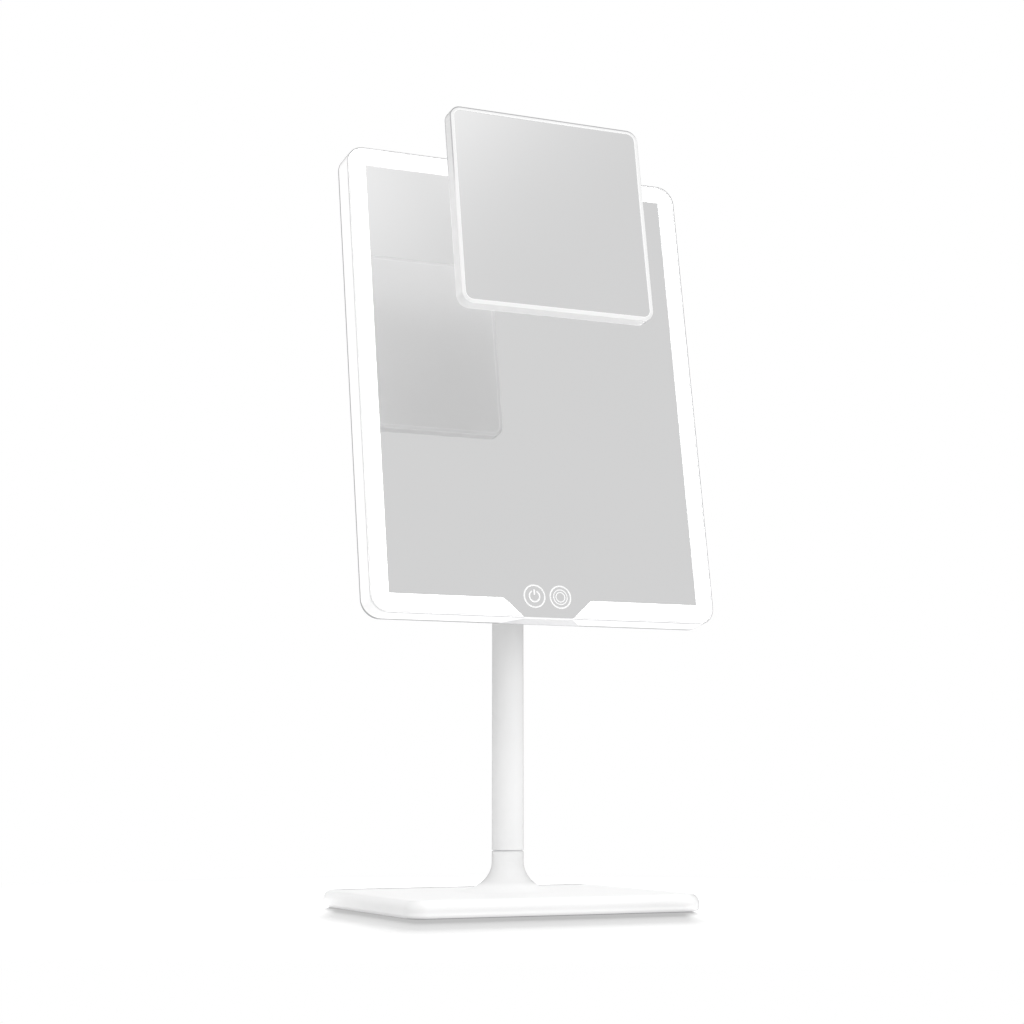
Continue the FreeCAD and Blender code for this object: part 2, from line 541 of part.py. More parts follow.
# Hinge pin, its two friction washers and the caps over its ends
pin = new_piece("hinge_pin", HEAD)
add(pin, [disc("Dim.pin_radius", "0", PIVOT)], f"-{EAR_OUTER}", EAR_OUTER, "YZ_Plane")
washers = new_piece("hinge_washers", HEAD)
washer = [disc("Dim.washer_radius", "0", PIVOT), disc("Dim.pin_radius + Dim.running_gap", "0", PIVOT)]
WASHER_INNER = f"({EAR_INNER} - Dim.washer_thick)"
add(washers, washer, WASHER_INNER, EAR_INNER, "YZ_Plane")
add(washers, washer, f"-{EAR_INNER}", f"-{WASHER_INNER}", "YZ_Plane")
caps = new_piece("hinge_caps", HEAD)
cap = disc("Dim.cap_radius", "0", PIVOT)
CAP_OUTER = f"({EAR_OUTER} + Dim.cap_thick)"
add(caps, [cap], EAR_OUTER, CAP_OUTER, "YZ_Plane")
add(caps, [cap], f"-{CAP_OUTER}", f"-{EAR_OUTER}", "YZ_Plane")


def is_cap_rim(edge):
    """Picks the two round edges on the outer faces of the caps."""
    return abs(abs(edge.CenterOfMass.x) - value(CAP_OUTER)) < value("Dim.edge_search")


round_edges(caps, "Dim.cap_edge", is_cap_rim)

# Levels in the stand, counted from the ground
BASE_FOOT = "Dim.pad_proud"
BASE_TOP = "(Dim.pad_proud + Dim.base_thick)"
FLARE_TOP = f"({BASE_TOP} + Dim.flare_height)"
FOOT_TOP = f"({BASE_TOP} + Dim.groove_rise)"
POST_FOOT = f"({FOOT_TOP} + Dim.groove_height)"
SHOULDER = "(Dim.pivot_height - Dim.ear_round - Dim.shoulder_gap)"
POST_TOP = f"({SHOULDER} - Dim.collar_height)"
POST_BORE = "(Dim.post_radius - Dim.post_wall)"
TURNING_BORE = "(Dim.spindle_radius + Dim.running_gap)"

# Post tube: a plain drawn tube
tube = new_piece("post_tube", STAND)
add(tube, [disc("Dim.post_radius"), disc(POST_BORE)], POST_FOOT, POST_TOP)

# Post head: its plug is glued into the tube, and its flat knuckle stands between the ears, where the pin runs
# through it
post_head = new_piece("post_head", STAND)
plug = disc(f"{POST_BORE} - Dim.fit_gap")
add(post_head, [plug], f"{POST_TOP} - Dim.plug_depth", f"{POST_TOP} + Dim.collar_height / 2")
add(post_head, [disc("Dim.post_radius")], POST_TOP, SHOULDER)
round_edges(post_head, "Dim.collar_edge", level_at(SHOULDER))
knuckle = [
    ("Dim.knuckle_round", "Dim.pivot_height", "0", "Dim.pivot_height"),
    ("0", "Dim.pivot_height + Dim.knuckle_round", "0", "Dim.pivot_height"),
    ("-Dim.knuckle_round", "Dim.pivot_height"),
    ("-Dim.knuckle_round", f"{SHOULDER} - Dim.collar_height / 2"),
    ("Dim.knuckle_round", f"{SHOULDER} - Dim.collar_height / 2"),
]
HALF_KNUCKLE = "Dim.knuckle_width / 2"
add(post_head, [knuckle], f"-{HALF_KNUCKLE}", HALF_KNUCKLE, "YZ_Plane")
pivot_bore = disc("Dim.pin_radius + Dim.running_gap", "0", "Dim.pivot_height")
cut(post_head, [pivot_bore], f"-{HALF_KNUCKLE} - Dim.overrun", f"{HALF_KNUCKLE} + Dim.overrun", "YZ_Plane")

# Post bush: a plastic bearing pressed into the foot of the tube, which turns on the spindle
bush = new_piece("post_bush", STAND)
BUSH_TOP = f"({POST_FOOT} + Dim.bush_length)"
add(bush, [plug, disc(TURNING_BORE)], POST_FOOT, BUSH_TOP)

# Swivel ring: the plain bearing ring that shows as a groove between the post and the foot
ring = new_piece("swivel_ring", STAND)
spindle_hole = disc("Dim.spindle_radius + Dim.fit_gap")
ring_outline = [disc("Dim.post_radius - Dim.groove_depth"), spindle_hole]
add(ring, ring_outline, FOOT_TOP, f"{POST_FOOT} - Dim.ring_gap")

# Swivel spindle: a turned steel stud, clamped in the base by its flange. A nut and washer hold the post down.
PLATE_TOP = "(Dim.pad_thick + Dim.plate_thick)"
WASHER_FOOT = f"({BUSH_TOP} + Dim.ring_gap)"
NUT_FOOT = f"({WASHER_FOOT} + Dim.nut_washer_thick)"
SPINDLE_TOP = f"({NUT_FOOT} + Dim.nut_thick + Dim.spindle_end)"
FLANGE_TOP = f"({PLATE_TOP} + Dim.flange_thick)"
spindle = new_piece("swivel_spindle", STAND)
spin(spindle, [
    ("0", PLATE_TOP), ("Dim.flange_radius", PLATE_TOP), ("Dim.flange_radius", FLANGE_TOP),
    ("Dim.spindle_radius", FLANGE_TOP), ("Dim.spindle_radius", SPINDLE_TOP), ("0", SPINDLE_TOP),
])
spindle_washer = new_piece("spindle_washer", STAND)
add(spindle_washer, [disc("Dim.nut_washer_radius"), spindle_hole], WASHER_FOOT, NUT_FOOT)
nut = new_piece("spindle_nut", STAND)
hexagon = [
    (f"Dim.nut_flats / sqrt(3) * cos({60 * corner})", f"Dim.nut_flats / sqrt(3) * sin({60 * corner})")
    for corner in range(6)
]
add(nut, [hexagon, spindle_hole], NUT_FOOT, f"{NUT_FOOT} + Dim.nut_thick")


def base_outline(inset):
    """The base's plan, drawn in by the inset."""
    return rounded(
        f"Dim.base_width - 2 * ({inset})", f"Dim.base_depth - 2 * ({inset})", f"Dim.base_corner - ({inset})"
    )


# Base cover: a flat moulding with a soft upper edge and a small round below. Its foot sweeps up to the post in
# two arcs that run into each other, tight above and wide below, and into the flat of the plate.
base = new_piece("base_cover", STAND)
add(base, [base_outline("0")], BASE_FOOT, BASE_TOP)
round_edges(base, "Dim.base_edge", level_at(BASE_TOP))
round_edges(base, "Dim.base_foot_edge", level_at(BASE_FOOT))
FLARE_LOWER = "((Dim.flare_height - Dim.flare_upper * sin(Dim.flare_turn)) / (1 - sin(Dim.flare_turn)))"
FLARE_MEET = "(Dim.post_radius + Dim.flare_upper * (1 - cos(Dim.flare_turn)))"
FLARE_MEET_UP = f"({FLARE_TOP} - Dim.flare_upper * sin(Dim.flare_turn))"
FLARE_ROOT = f"({FLARE_MEET} + {FLARE_LOWER} * cos(Dim.flare_turn))"
ROOF = f"({BASE_TOP} - Dim.cover_roof)"
spin(base, [
    ("0", ROOF), (FLARE_ROOT, ROOF), (FLARE_ROOT, BASE_TOP, FLARE_ROOT, f"{BASE_TOP} + {FLARE_LOWER}"),
    (FLARE_MEET, FLARE_MEET_UP, "Dim.post_radius + Dim.flare_upper", FLARE_TOP),
    ("Dim.post_radius", FLARE_TOP), ("Dim.post_radius", FOOT_TOP), ("0", FOOT_TOP),
])
cut(base, [base_outline("Dim.rim_width")], BASE_FOOT, ROOF)
cut(base, [base_outline("Dim.recess_inset")], f"{BASE_FOOT} - Dim.overrun", PLATE_TOP)
cut(base, [spindle_hole], BASE_FOOT, f"{FOOT_TOP} + Dim.overrun")
BASE_SCREWS = [
    (f"{side} * (Dim.base_width / 2 - Dim.base_screw_inset)", f"{step} * Dim.base_screw_up / 2")
    for side in (-1, 1) for step in (-1, 1)
]
BASE_SCREW_TIP = "(Dim.pad_thick + Dim.base_screw_length)"
base_screw_holes = discs("Dim.base_screw_radius + Dim.screw_gap", BASE_SCREWS)
cut(base, base_screw_holes, BASE_FOOT, BASE_SCREW_TIP)

# Ballast plate: a steel weight that fills the base, with a seat for the spindle's flange
ballast = new_piece("ballast_plate", STAND)
add(ballast, [base_outline("Dim.rim_width + Dim.ballast_gap")], PLATE_TOP, ROOF)
cut(ballast, [spindle_hole], f"{PLATE_TOP} - Dim.overrun", f"{ROOF} + Dim.overrun")
cut(ballast, [disc("Dim.flange_radius + Dim.fit_gap")], f"{PLATE_TOP} - Dim.overrun", FLANGE_TOP)

# Bottom plate, its four screws and the soft pad under it, which stands a little proud of the cover
bottom_plate = new_piece("bottom_plate", STAND)
add(bottom_plate, [base_outline("Dim.recess_inset + Dim.recess_gap")], "Dim.pad_thick", PLATE_TOP)
cut(bottom_plate, base_screw_holes, "Dim.pad_thick - Dim.overrun", f"{PLATE_TOP} + Dim.overrun")
BASE_HEAD_TOP = "(Dim.pad_thick + Dim.base_screw_head_thick)"
plate_seats = discs("Dim.base_screw_head + Dim.screw_gap", BASE_SCREWS)
cut(bottom_plate, plate_seats, "Dim.pad_thick - Dim.overrun", BASE_HEAD_TOP)
base_screws = new_piece("base_screws", STAND)
add(base_screws, discs("Dim.base_screw_head", BASE_SCREWS), "Dim.pad_thick", BASE_HEAD_TOP)
base_shanks = discs("Dim.base_screw_radius", BASE_SCREWS)
add(base_screws, base_shanks, "Dim.pad_thick + Dim.base_screw_head_thick / 2", BASE_SCREW_TIP)
base_pad = new_piece("base_pad", STAND)
add(base_pad, [base_outline("Dim.recess_inset + Dim.pad_inset")], "0", "Dim.pad_thick")


def magnifier_outline(inset):
    """The magnifier's square outline, drawn in by the inset."""
    side = f"Dim.magnifier_side - 2 * ({inset})"
    return rounded(side, side, f"Dim.magnifier_corner - ({inset})")


# Magnifier frame: a square moulded band, softly rounded at the front and the back
frame = new_piece("magnifier_frame", MAGNIFIER)
add(frame, [magnifier_outline("0")], "0", "Dim.magnifier_depth")
round_edges(frame, "Dim.magnifier_edge", level_at("0"))
round_edges(frame, "Dim.magnifier_edge", level_at("Dim.magnifier_depth"))
cut(frame, [magnifier_outline("Dim.magnifier_rim")], "-Dim.overrun", "Dim.magnifier_depth + Dim.overrun")

# Magnifier back and the four magnets in it
WITHIN = "(Dim.magnifier_rim + Dim.magnifier_gap)"
magnifier_back = new_piece("magnifier_back", MAGNIFIER)
add(magnifier_back, [magnifier_outline(WITHIN)], "0", "Dim.magnifier_back")
MAGNET_SPREAD = "(Dim.magnifier_side / 2 - Dim.magnet_inset)"
MAGNETS = [(f"{x} * {MAGNET_SPREAD}", f"{y} * {MAGNET_SPREAD}") for x in (-1, 1) for y in (-1, 1)]
MAGNET_BACK = "(Dim.magnifier_back - Dim.magnet_thick)"
magnet_seats = discs("Dim.magnet_radius + Dim.magnet_gap", MAGNETS)
cut(magnifier_back, magnet_seats, MAGNET_BACK, "Dim.magnifier_back + Dim.overrun")
magnets = new_piece("magnifier_magnets", MAGNIFIER)
add(magnets, discs("Dim.magnet_radius", MAGNETS), MAGNET_BACK, "Dim.magnifier_back")

# Magnifier tape and the hollow mirror that it holds, whose curve comes up to full thickness at the corners
MIRROR_BACK = "(Dim.magnifier_back + Dim.magnifier_tape)"
magnifier_tape = new_piece("magnifier_tape", MAGNIFIER)
add(magnifier_tape, [magnifier_outline(WITHIN)], "Dim.magnifier_back", MIRROR_BACK)
TAPE_SIDE = "Dim.magnifier_side - 2 * (Dim.magnifier_rim + Dim.magnifier_tape_width)"
tape_window = block(TAPE_SIDE, TAPE_SIDE)
cut(magnifier_tape, [tape_window], "Dim.magnifier_back - Dim.overrun", f"{MIRROR_BACK} + Dim.overrun")
mirror = new_piece("magnifier_mirror", MAGNIFIER)
MIRROR_FRONT = "(Dim.magnifier_depth - Dim.mirror_sunk)"
add(mirror, [magnifier_outline(WITHIN)], MIRROR_BACK, MIRROR_FRONT)
CORNER_ROUND = f"(Dim.magnifier_corner - {WITHIN})"
CORNER_REACH = f"((Dim.magnifier_side / 2 - Dim.magnifier_corner) * sqrt(2) + {CORNER_ROUND})"
DISH_CENTRE = f"({MIRROR_FRONT} + sqrt(Dim.mirror_curve ^ 2 - {CORNER_REACH} ^ 2))"
DISH_EDGE = f"({DISH_CENTRE} - sqrt(Dim.mirror_curve ^ 2 - Dim.magnifier_side ^ 2))"
spin(mirror, [
    ("0", f"{DISH_CENTRE} - Dim.mirror_curve", "0", DISH_CENTRE),
    ("Dim.magnifier_side", DISH_EDGE), ("Dim.magnifier_side", f"{DISH_EDGE} + Dim.overrun"),
    ("0", f"{DISH_EDGE} + Dim.overrun"),
], "PartDesign::Groove")

doc.recompute()
for item in doc.Objects:
    if "Invalid" in item.State or "Error" in item.State:
        raise RuntimeError(f"{item.Label} failed: {item.State}")
for node in nodes:
    if node.Shape.isNull() or not node.Shape.isValid():
        raise RuntimeError(f"{node.Label} has no valid shape")

os.makedirs("parts", exist_ok=True)
for node in nodes:
    node.Shape.exportStep(f"parts/{node.Label}.step")
    print(f"{node.Label}: {len(node.Shape.Solids)} solids, {node.Shape.Volume / 1000:.2f} cm3")
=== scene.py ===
import math

import bmesh
import bpy
from mathutils import Matrix, Vector


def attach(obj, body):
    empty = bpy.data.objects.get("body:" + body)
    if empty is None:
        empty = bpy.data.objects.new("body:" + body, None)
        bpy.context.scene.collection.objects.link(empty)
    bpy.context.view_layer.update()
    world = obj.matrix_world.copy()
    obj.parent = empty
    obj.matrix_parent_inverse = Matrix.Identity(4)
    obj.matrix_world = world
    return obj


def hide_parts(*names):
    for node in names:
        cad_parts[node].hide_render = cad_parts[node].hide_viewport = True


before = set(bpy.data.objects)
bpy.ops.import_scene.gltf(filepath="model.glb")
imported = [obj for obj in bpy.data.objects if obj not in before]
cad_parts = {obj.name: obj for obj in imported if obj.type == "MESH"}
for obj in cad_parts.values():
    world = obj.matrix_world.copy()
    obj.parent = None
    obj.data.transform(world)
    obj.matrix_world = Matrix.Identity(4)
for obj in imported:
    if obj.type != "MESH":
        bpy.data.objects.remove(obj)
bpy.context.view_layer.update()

# Base cover: a flat plate moulded in satin white plastic, with a soft upper edge and a foot that sweeps up
# to the post. It is a shell over the ballast, closed from below by a screwed plate.
BLACK = (0, 0, 0, 1)
WHITE = (1, 1, 1, 1)
BASE_WHITE = (0.92, 0.92, 0.92)
BASE_HALF_WIDTH = 0.0881
BASE_HALF_DEPTH = 0.071
BASE_CORNER = 0.012
BASE_TOP = 0.0099
BASE_FOOT = 0.0004
REAR_STRIP = 0.013
REAR_STRIP_FADE = 0.004
SIDE_STRIP = 0.0002
FLARE_SKIN_FROM, FLARE_SKIN_TO = 0.013, 0.016
FLARE_SHADE_FROM, FLARE_SHADE_TO = 0.011, 0.02
FLARE_SHADE = 0.05
END_SHADE = 0.08
END_LIGHT_LOW, END_LIGHT_HIGH = 0.8, 0.1
LOW_ROUND_FROM, LOW_ROUND_TO = BASE_FOOT + 0.0016, BASE_FOOT + 0.0036
LOW_ROUND_LIGHT = 0.55
FRONT_LIGHT = 0.45
FRONT_FADE_FROM, FRONT_FADE_TO = 0.02, 0.085


def put(tree, kind, inputs=(), **settings):
    """Adds a node to a tree, sets it up, and fills or links its inputs by name or number."""
    node = tree.nodes.new(kind)
    for name, setting in settings.items():
        setattr(node, name, setting)
    for name, given in dict(inputs).items():
        if isinstance(given, bpy.types.NodeSocket):
            tree.links.new(given, node.inputs[name])
        else:
            node.inputs[name].default_value = given
    return node


def reckon(tree, operation, first, second=0.0, third=0.0):
    """The result of one sum on values."""
    return put(tree, "ShaderNodeMath", {0: first, 1: second, 2: third}, operation=operation).outputs[0]


def ramp(tree, given, low, high, at_low=0.0, at_high=1.0):
    """A value carried smoothly from one range to another."""
    ends = {"Value": given, "From Min": low, "From Max": high, "To Min": at_low, "To Max": at_high}
    return put(tree, "ShaderNodeMapRange", ends, interpolation_type="SMOOTHSTEP").outputs[0]


def mixed(tree, share, first, second):
    """A colour between two others."""
    return put(tree, "ShaderNodeMix", {0: share, 6: first, 7: second}, data_type="RGBA").outputs[2]


def scaled(tree, colour, share):
    """A colour with all its parts taken down by one share."""
    return put(tree, "ShaderNodeVectorMath", {0: colour, "Scale": share}, operation="SCALE").outputs[0]


def parted(tree, place):
    """The three measures of a place."""
    return put(tree, "ShaderNodeSeparateXYZ", {0: place}).outputs


def new_group(name, inputs, outputs):
    """An empty shader group with its named sockets, and the two nodes where they come in and go out."""
    group = bpy.data.node_groups.new(name, "ShaderNodeTree")
    for socket, start in inputs.items():
        kind = "NodeSocketVector" if start is None else "NodeSocketFloat"
        made = group.interface.new_socket(name=socket, in_out="INPUT", socket_type=kind)
        if start is not None:
            made.default_value = start
    for socket in outputs:
        group.interface.new_socket(name=socket, in_out="OUTPUT", socket_type="NodeSocketFloat")
    return group, group.nodes.new("NodeGroupInput").outputs, group.nodes.new("NodeGroupOutput").inputs


# Moulded grain: slow drifts of tone and gloss, and the fine spark-eroded texture of the mould
moulded_grain, given, result = new_group(
    "moulded_grain",
    {"Vector": None, "Grain Scale": 2400.0, "Tone Depth": 0.02, "Roughness": 0.4, "Roughness Spread": 0.05},
    ("Tone", "Roughness", "Height"),
)
drift = put(
    moulded_grain, "ShaderNodeTexNoise", {"Vector": given["Vector"], "Scale": 14.0, "Detail": 2.0}
).outputs[0]
grain = put(
    moulded_grain, "ShaderNodeTexNoise",
    {"Vector": given["Vector"], "Scale": given["Grain Scale"], "Detail": 2.0, "Roughness": 0.6},
).outputs[0]
lowest = reckon(moulded_grain, "SUBTRACT", 1.0, given["Tone Depth"])
tone = ramp(moulded_grain, drift, 0.3, 0.7, lowest, 1.0)
swing = reckon(moulded_grain, "MULTIPLY_ADD", drift, 2.0, -1.0)
gloss = reckon(moulded_grain, "MULTIPLY_ADD", swing, given["Roughness Spread"], given["Roughness"])
moulded_grain.links.new(tone, result["Tone"])
moulded_grain.links.new(gloss, result["Roughness"])
moulded_grain.links.new(grain, result["Height"])

# Edge lines: where a box with round corners turns from its face to its walls and from its walls to its
# back, and where its corners are round. Strips are counted along the width and along the height.
edge_lines, given, result = new_group(
    "edge_lines",
    {"Vector": None, "Half Width": 0.1, "Half Height": 0.1, "Corner": 0.01, "Face": 0.0, "Back": -0.01,
     "Face Strip Across": 0.001, "Face Strip Along": 0.001, "Wall Strip Across": 0.001,
     "Wall Strip Along": 0.001, "Face Depth": 0.0005},
    ("Inside", "Across", "Face Line", "Back Line", "Round Corner", "Wall"),
)
spread = parted(edge_lines, given["Vector"])
past = {}
for axis, half in (("X", "Half Width"), ("Y", "Half Height")):
    straight = reckon(edge_lines, "SUBTRACT", given[half], given["Corner"])
    past[axis] = reckon(edge_lines, "SUBTRACT", reckon(edge_lines, "ABSOLUTE", spread[axis]), straight)
furthest = reckon(edge_lines, "MAXIMUM", past["X"], past["Y"])
by_side = reckon(edge_lines, "COMPARE", past["X"], furthest, 1e-9)
beyond = {}
for axis, share in (("X", by_side), ("Y", reckon(edge_lines, "SUBTRACT", 1.0, by_side))):
    least = reckon(edge_lines, "MULTIPLY", share, 1e-6)
    beyond[axis] = reckon(edge_lines, "MAXIMUM", past[axis], least)
squares = {axis: reckon(edge_lines, "MULTIPLY", length, length) for axis, length in beyond.items()}
square = reckon(edge_lines, "ADD", squares["X"], squares["Y"])
reach = reckon(edge_lines, "SQRT", square)
inner = reckon(edge_lines, "MINIMUM", furthest, 0.0)
inside = reckon(edge_lines, "SUBTRACT", reckon(edge_lines, "SUBTRACT", given["Corner"], reach), inner)
across = reckon(edge_lines, "DIVIDE", squares["X"], square)


def stripped(depth, kind):
    """The share of a strip whose width goes over from the sides to the ends round each corner."""
    along = reckon(edge_lines, "SUBTRACT", 1.0, across)
    wide = reckon(edge_lines, "MULTIPLY", given[f"{kind} Strip Across"], across)
    tall = reckon(edge_lines, "MULTIPLY", given[f"{kind} Strip Along"], along)
    strip = reckon(edge_lines, "ADD", wide, tall)
    return ramp(edge_lines, reckon(edge_lines, "DIVIDE", depth, strip), 0.85, 1.05, 1.0, 0.0)


below_face = reckon(edge_lines, "SUBTRACT", given["Face"], spread["Z"])
above_back = reckon(edge_lines, "SUBTRACT", spread["Z"], given["Back"])
face_share = reckon(edge_lines, "DIVIDE", below_face, given["Face Depth"])
near_face = ramp(edge_lines, face_share, 0.8, 1.2, 1.0, 0.0)
wall = ramp(edge_lines, reckon(edge_lines, "DIVIDE", inside, given["Corner"]), 0.2, 0.3, 1.0, 0.0)
least_past = reckon(edge_lines, "MINIMUM", past["X"], past["Y"])
on_corner = ramp(edge_lines, reckon(edge_lines, "DIVIDE", least_past, given["Corner"]), 0.05, 0.5)
edge_lines.links.new(inside, result["Inside"])
edge_lines.links.new(across, result["Across"])
edge_lines.links.new(reckon(edge_lines, "MULTIPLY", stripped(inside, "Face"), near_face), result["Face Line"])
edge_lines.links.new(reckon(edge_lines, "MULTIPLY", stripped(above_back, "Wall"), wall), result["Back Line"])
edge_lines.links.new(reckon(edge_lines, "MULTIPLY", on_corner, wall), result["Round Corner"])
edge_lines.links.new(wall, result["Wall"])


def new_material(name, **shader_values):
    """A material with its shader set up, its tree, and the place of each point on the piece."""
    material = bpy.data.materials.new(name)
    material.use_nodes = True
    tree = material.node_tree
    shader = tree.nodes["Principled BSDF"]
    for socket, setting in shader_values.items():
        shader.inputs[socket.replace("_", " ")].default_value = setting
    place = put(tree, "ShaderNodeTexCoord").outputs["Object"]
    return material, tree, shader, place


def grained(tree, shader, place, colour, tone, roughness, spread, scale=2400.0, bump=0.04):
    """Gives a shader the moulded grain, and returns its colour for more to be laid over it."""
    values = {
        "Vector": place, "Grain Scale": scale, "Tone Depth": tone, "Roughness": roughness,
        "Roughness Spread": spread,
    }
    grain = put(tree, "ShaderNodeGroup", values, node_tree=moulded_grain).outputs
    toned = scaled(tree, colour, grain["Tone"])
    relief = put(tree, "ShaderNodeBump", {"Strength": bump, "Distance": 0.0001, "Height": grain["Height"]})
    tree.links.new(toned, shader.inputs["Base Color"])
    tree.links.new(grain["Roughness"], shader.inputs["Roughness"])
    tree.links.new(relief.outputs[0], shader.inputs["Normal"])
    return toned


def edged(tree, place, sizes):
    """The edge lines of a box, as a placed group."""
    return put(tree, "ShaderNodeGroup", {"Vector": place, **sizes}, node_tree=edge_lines).outputs


def paint_glow(tree, shader, share):
    """Paints on a share of the light that a shader gives off: painted light, where the piece gives off none
    of its own.
    """
    tree.links.new(mixed(tree, share, BLACK, WHITE), shader.inputs["Emission Color"])


def dress(material, *names):
    """Puts a material on carried-over nodes."""
    for name in names:
        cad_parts[name].material_slots[0].material = material


# The satin skin of the white pieces takes up a little light, most where it is looked at along the surface
SATIN_SKIN = {"Coat_IOR": 1.0, "Coat_Tint": (0.95, 0.95, 0.95, 1), "Coat_Roughness": 0.3}
base_white, tree, shader, place = new_material(
    "base_white", Specular_IOR_Level=0.3, Emission_Strength=0.2, **SATIN_SKIN
)
toned = grained(tree, shader, place, BASE_WHITE, tone=0.01, roughness=0.42, spread=0.05)
lines = edged(tree, place, {
    "Half Width": BASE_HALF_WIDTH, "Half Height": BASE_HALF_DEPTH, "Corner": BASE_CORNER, "Face": BASE_TOP,
    "Back": BASE_FOOT, "Face Strip Across": SIDE_STRIP, "Face Strip Along": REAR_STRIP, "Face Depth": 0.001,
})
spread = parted(tree, place)
height = spread["Z"]
# The satin skin is laid only on a strip along the rear rim, on the round corners and on the upper foot, where
# it darkens their outlines: painted shade lines.
strip_from = BASE_HALF_DEPTH - REAR_STRIP
rearmost = ramp(tree, spread["Y"], strip_from, strip_from + REAR_STRIP_FADE)
rear_rim_shade_line = reckon(tree, "MULTIPLY", lines["Face Line"], rearmost)
flare = ramp(tree, height, FLARE_SKIN_FROM, FLARE_SKIN_TO)
shade_line_skin = reckon(tree, "MAXIMUM", reckon(tree, "MAXIMUM", rear_rim_shade_line, lines["Round Corner"]), flare)
tree.links.new(shade_line_skin, shader.inputs["Coat Weight"])
# The end walls, and the foot as it rises from the plate, are made darker in colour: painted shade.
end_wall = reckon(tree, "MULTIPLY", lines["Across"], lines["Wall"])
painted_end_shade = reckon(tree, "MULTIPLY", end_wall, END_SHADE)
painted_flare_shade = ramp(tree, height, FLARE_SHADE_FROM, FLARE_SHADE_TO, 0.0, FLARE_SHADE)
shade = reckon(tree, "SUBTRACT", 1.0, reckon(tree, "MAXIMUM", painted_end_shade, painted_flare_shade))
tree.links.new(scaled(tree, toned, shade), shader.inputs["Base Color"])
# The front wall gives off a little light of its own, most at its lower rounding and less towards the right
# end, and the end walls most low down: painted light.
low_round_painted_light = ramp(tree, height, LOW_ROUND_FROM, LOW_ROUND_TO, LOW_ROUND_LIGHT, 0.0)
front_wall = reckon(tree, "SUBTRACT", lines["Wall"], end_wall)
front_painted_light = ramp(tree, spread["X"], FRONT_FADE_FROM, FRONT_FADE_TO, FRONT_LIGHT, 0.0)
painted_front_light = reckon(tree, "MULTIPLY", front_wall, reckon(tree, "ADD", low_round_painted_light, front_painted_light))
end_painted_light = ramp(tree, height, BASE_FOOT, BASE_TOP, END_LIGHT_LOW, END_LIGHT_HIGH)
painted_end_light = reckon(tree, "MULTIPLY", end_wall, end_painted_light)
paint_glow(tree, shader, reckon(tree, "ADD", painted_front_light, painted_end_light))
dress(base_white, "base_cover")

# Ballast plate: a flat iron casting, rough from its mould. It lies loose inside the cover, held by the
# bottom plate, and keeps the tall head from tipping the base.
BALLAST_GREY = (0.17, 0.17, 0.18)
ballast_iron, tree, shader, place = new_material("ballast_iron", Metallic=0.7)
grained(tree, shader, place, BALLAST_GREY, tone=0.35, roughness=0.68, spread=0.12, scale=420.0, bump=0.5)
dress(ballast_iron, "ballast_plate")

# Bottom plate and its four screws: bright sheet steel under the ballast. The other plain steel pieces that
# no one sees have the same drawn finish.
STEEL_DARK = (0.58, 0.58, 0.6, 1)
STEEL_BRIGHT = (0.7, 0.7, 0.71, 1)
STREAK_STRETCH = (1.0, 30.0, 30.0)
plain_steel, tree, shader, place = new_material("plain_steel", Metallic=1.0)
stretched = put(tree, "ShaderNodeMapping", {"Vector": place, "Scale": STREAK_STRETCH}).outputs[0]
streaks = put(tree, "ShaderNodeTexNoise", {"Vector": stretched, "Scale": 60.0, "Detail": 3.0}).outputs[0]
tree.links.new(mixed(tree, streaks, STEEL_DARK, STEEL_BRIGHT), shader.inputs["Base Color"])
tree.links.new(ramp(tree, streaks, 0.3, 0.7, 0.26, 0.42), shader.inputs["Roughness"])
dress(plain_steel, "bottom_plate", "base_screws")

# Base pad: soft grey rubber, cut from sheet and glued under the plate. It stands a little proud of the
# cover, and the mirror rests on it.
RUBBER_GREY = (0.62, 0.62, 0.63)
soft_rubber, tree, shader, place = new_material("soft_rubber")
grained(tree, shader, place, RUBBER_GREY, tone=0.08, roughness=0.82, spread=0.06, scale=900.0, bump=0.35)
dress(soft_rubber, "base_pad")

# Swivel: a steel stud clamped in the base, with its washer and nut, and the moulded plastic ring and bush
# that the post turns on
BEARING_WHITE = (0.78, 0.78, 0.79)
dress(plain_steel, "swivel_spindle", "spindle_washer", "spindle_nut")
bearing_plastic, tree, shader, place = new_material("bearing_plastic", Specular_IOR_Level=0.5)
grained(tree, shader, place, BEARING_WHITE, tone=0.04, roughness=0.3, spread=0.05)
dress(bearing_plastic, "swivel_ring", "post_bush")

# Post: a drawn metal tube with a turned head glued into its top, both powder coated in satin white. Its
# colour is darker towards the top: painted shade where the head stands over it.
POST_WHITE = (0.915, 0.915, 0.915, 1)
POST_SHADE_UNDER_HEAD = (0.7, 0.7, 0.7, 1)
POST_GREY_FROM, POST_GREY_TO = 0.05, 0.165
white_paint, tree, shader, place = new_material(
    "white_paint", Coat_Weight=1.0, Specular_IOR_Level=0.4, **SATIN_SKIN
)
shade_under_head = ramp(tree, parted(tree, place)["Z"], POST_GREY_FROM, POST_GREY_TO)
shaded = mixed(tree, shade_under_head, POST_WHITE, POST_SHADE_UNDER_HEAD)
grained(tree, shader, place, shaded, tone=0.015, roughness=0.4, spread=0.05, scale=700.0, bump=0.05)
dress(white_paint, "post_tube", "post_head")

# Tilt hinge: a cast bracket in the same paint, screwed to the head from inside, with a steel pin, two
# friction washers and moulded caps over the ends of the pin
CAP_WHITE = (0.88, 0.88, 0.88)
dress(white_paint, "hinge_bracket")
dress(plain_steel, "hinge_pin", "bracket_screws")
dress(bearing_plastic, "hinge_washers")
cap_white, tree, shader, place = new_material("cap_white", Coat_Weight=0.15, Coat_Roughness=0.25)
grained(tree, shader, place, CAP_WHITE, tone=0.02, roughness=0.42, spread=0.05)
dress(cap_white, "hinge_caps")
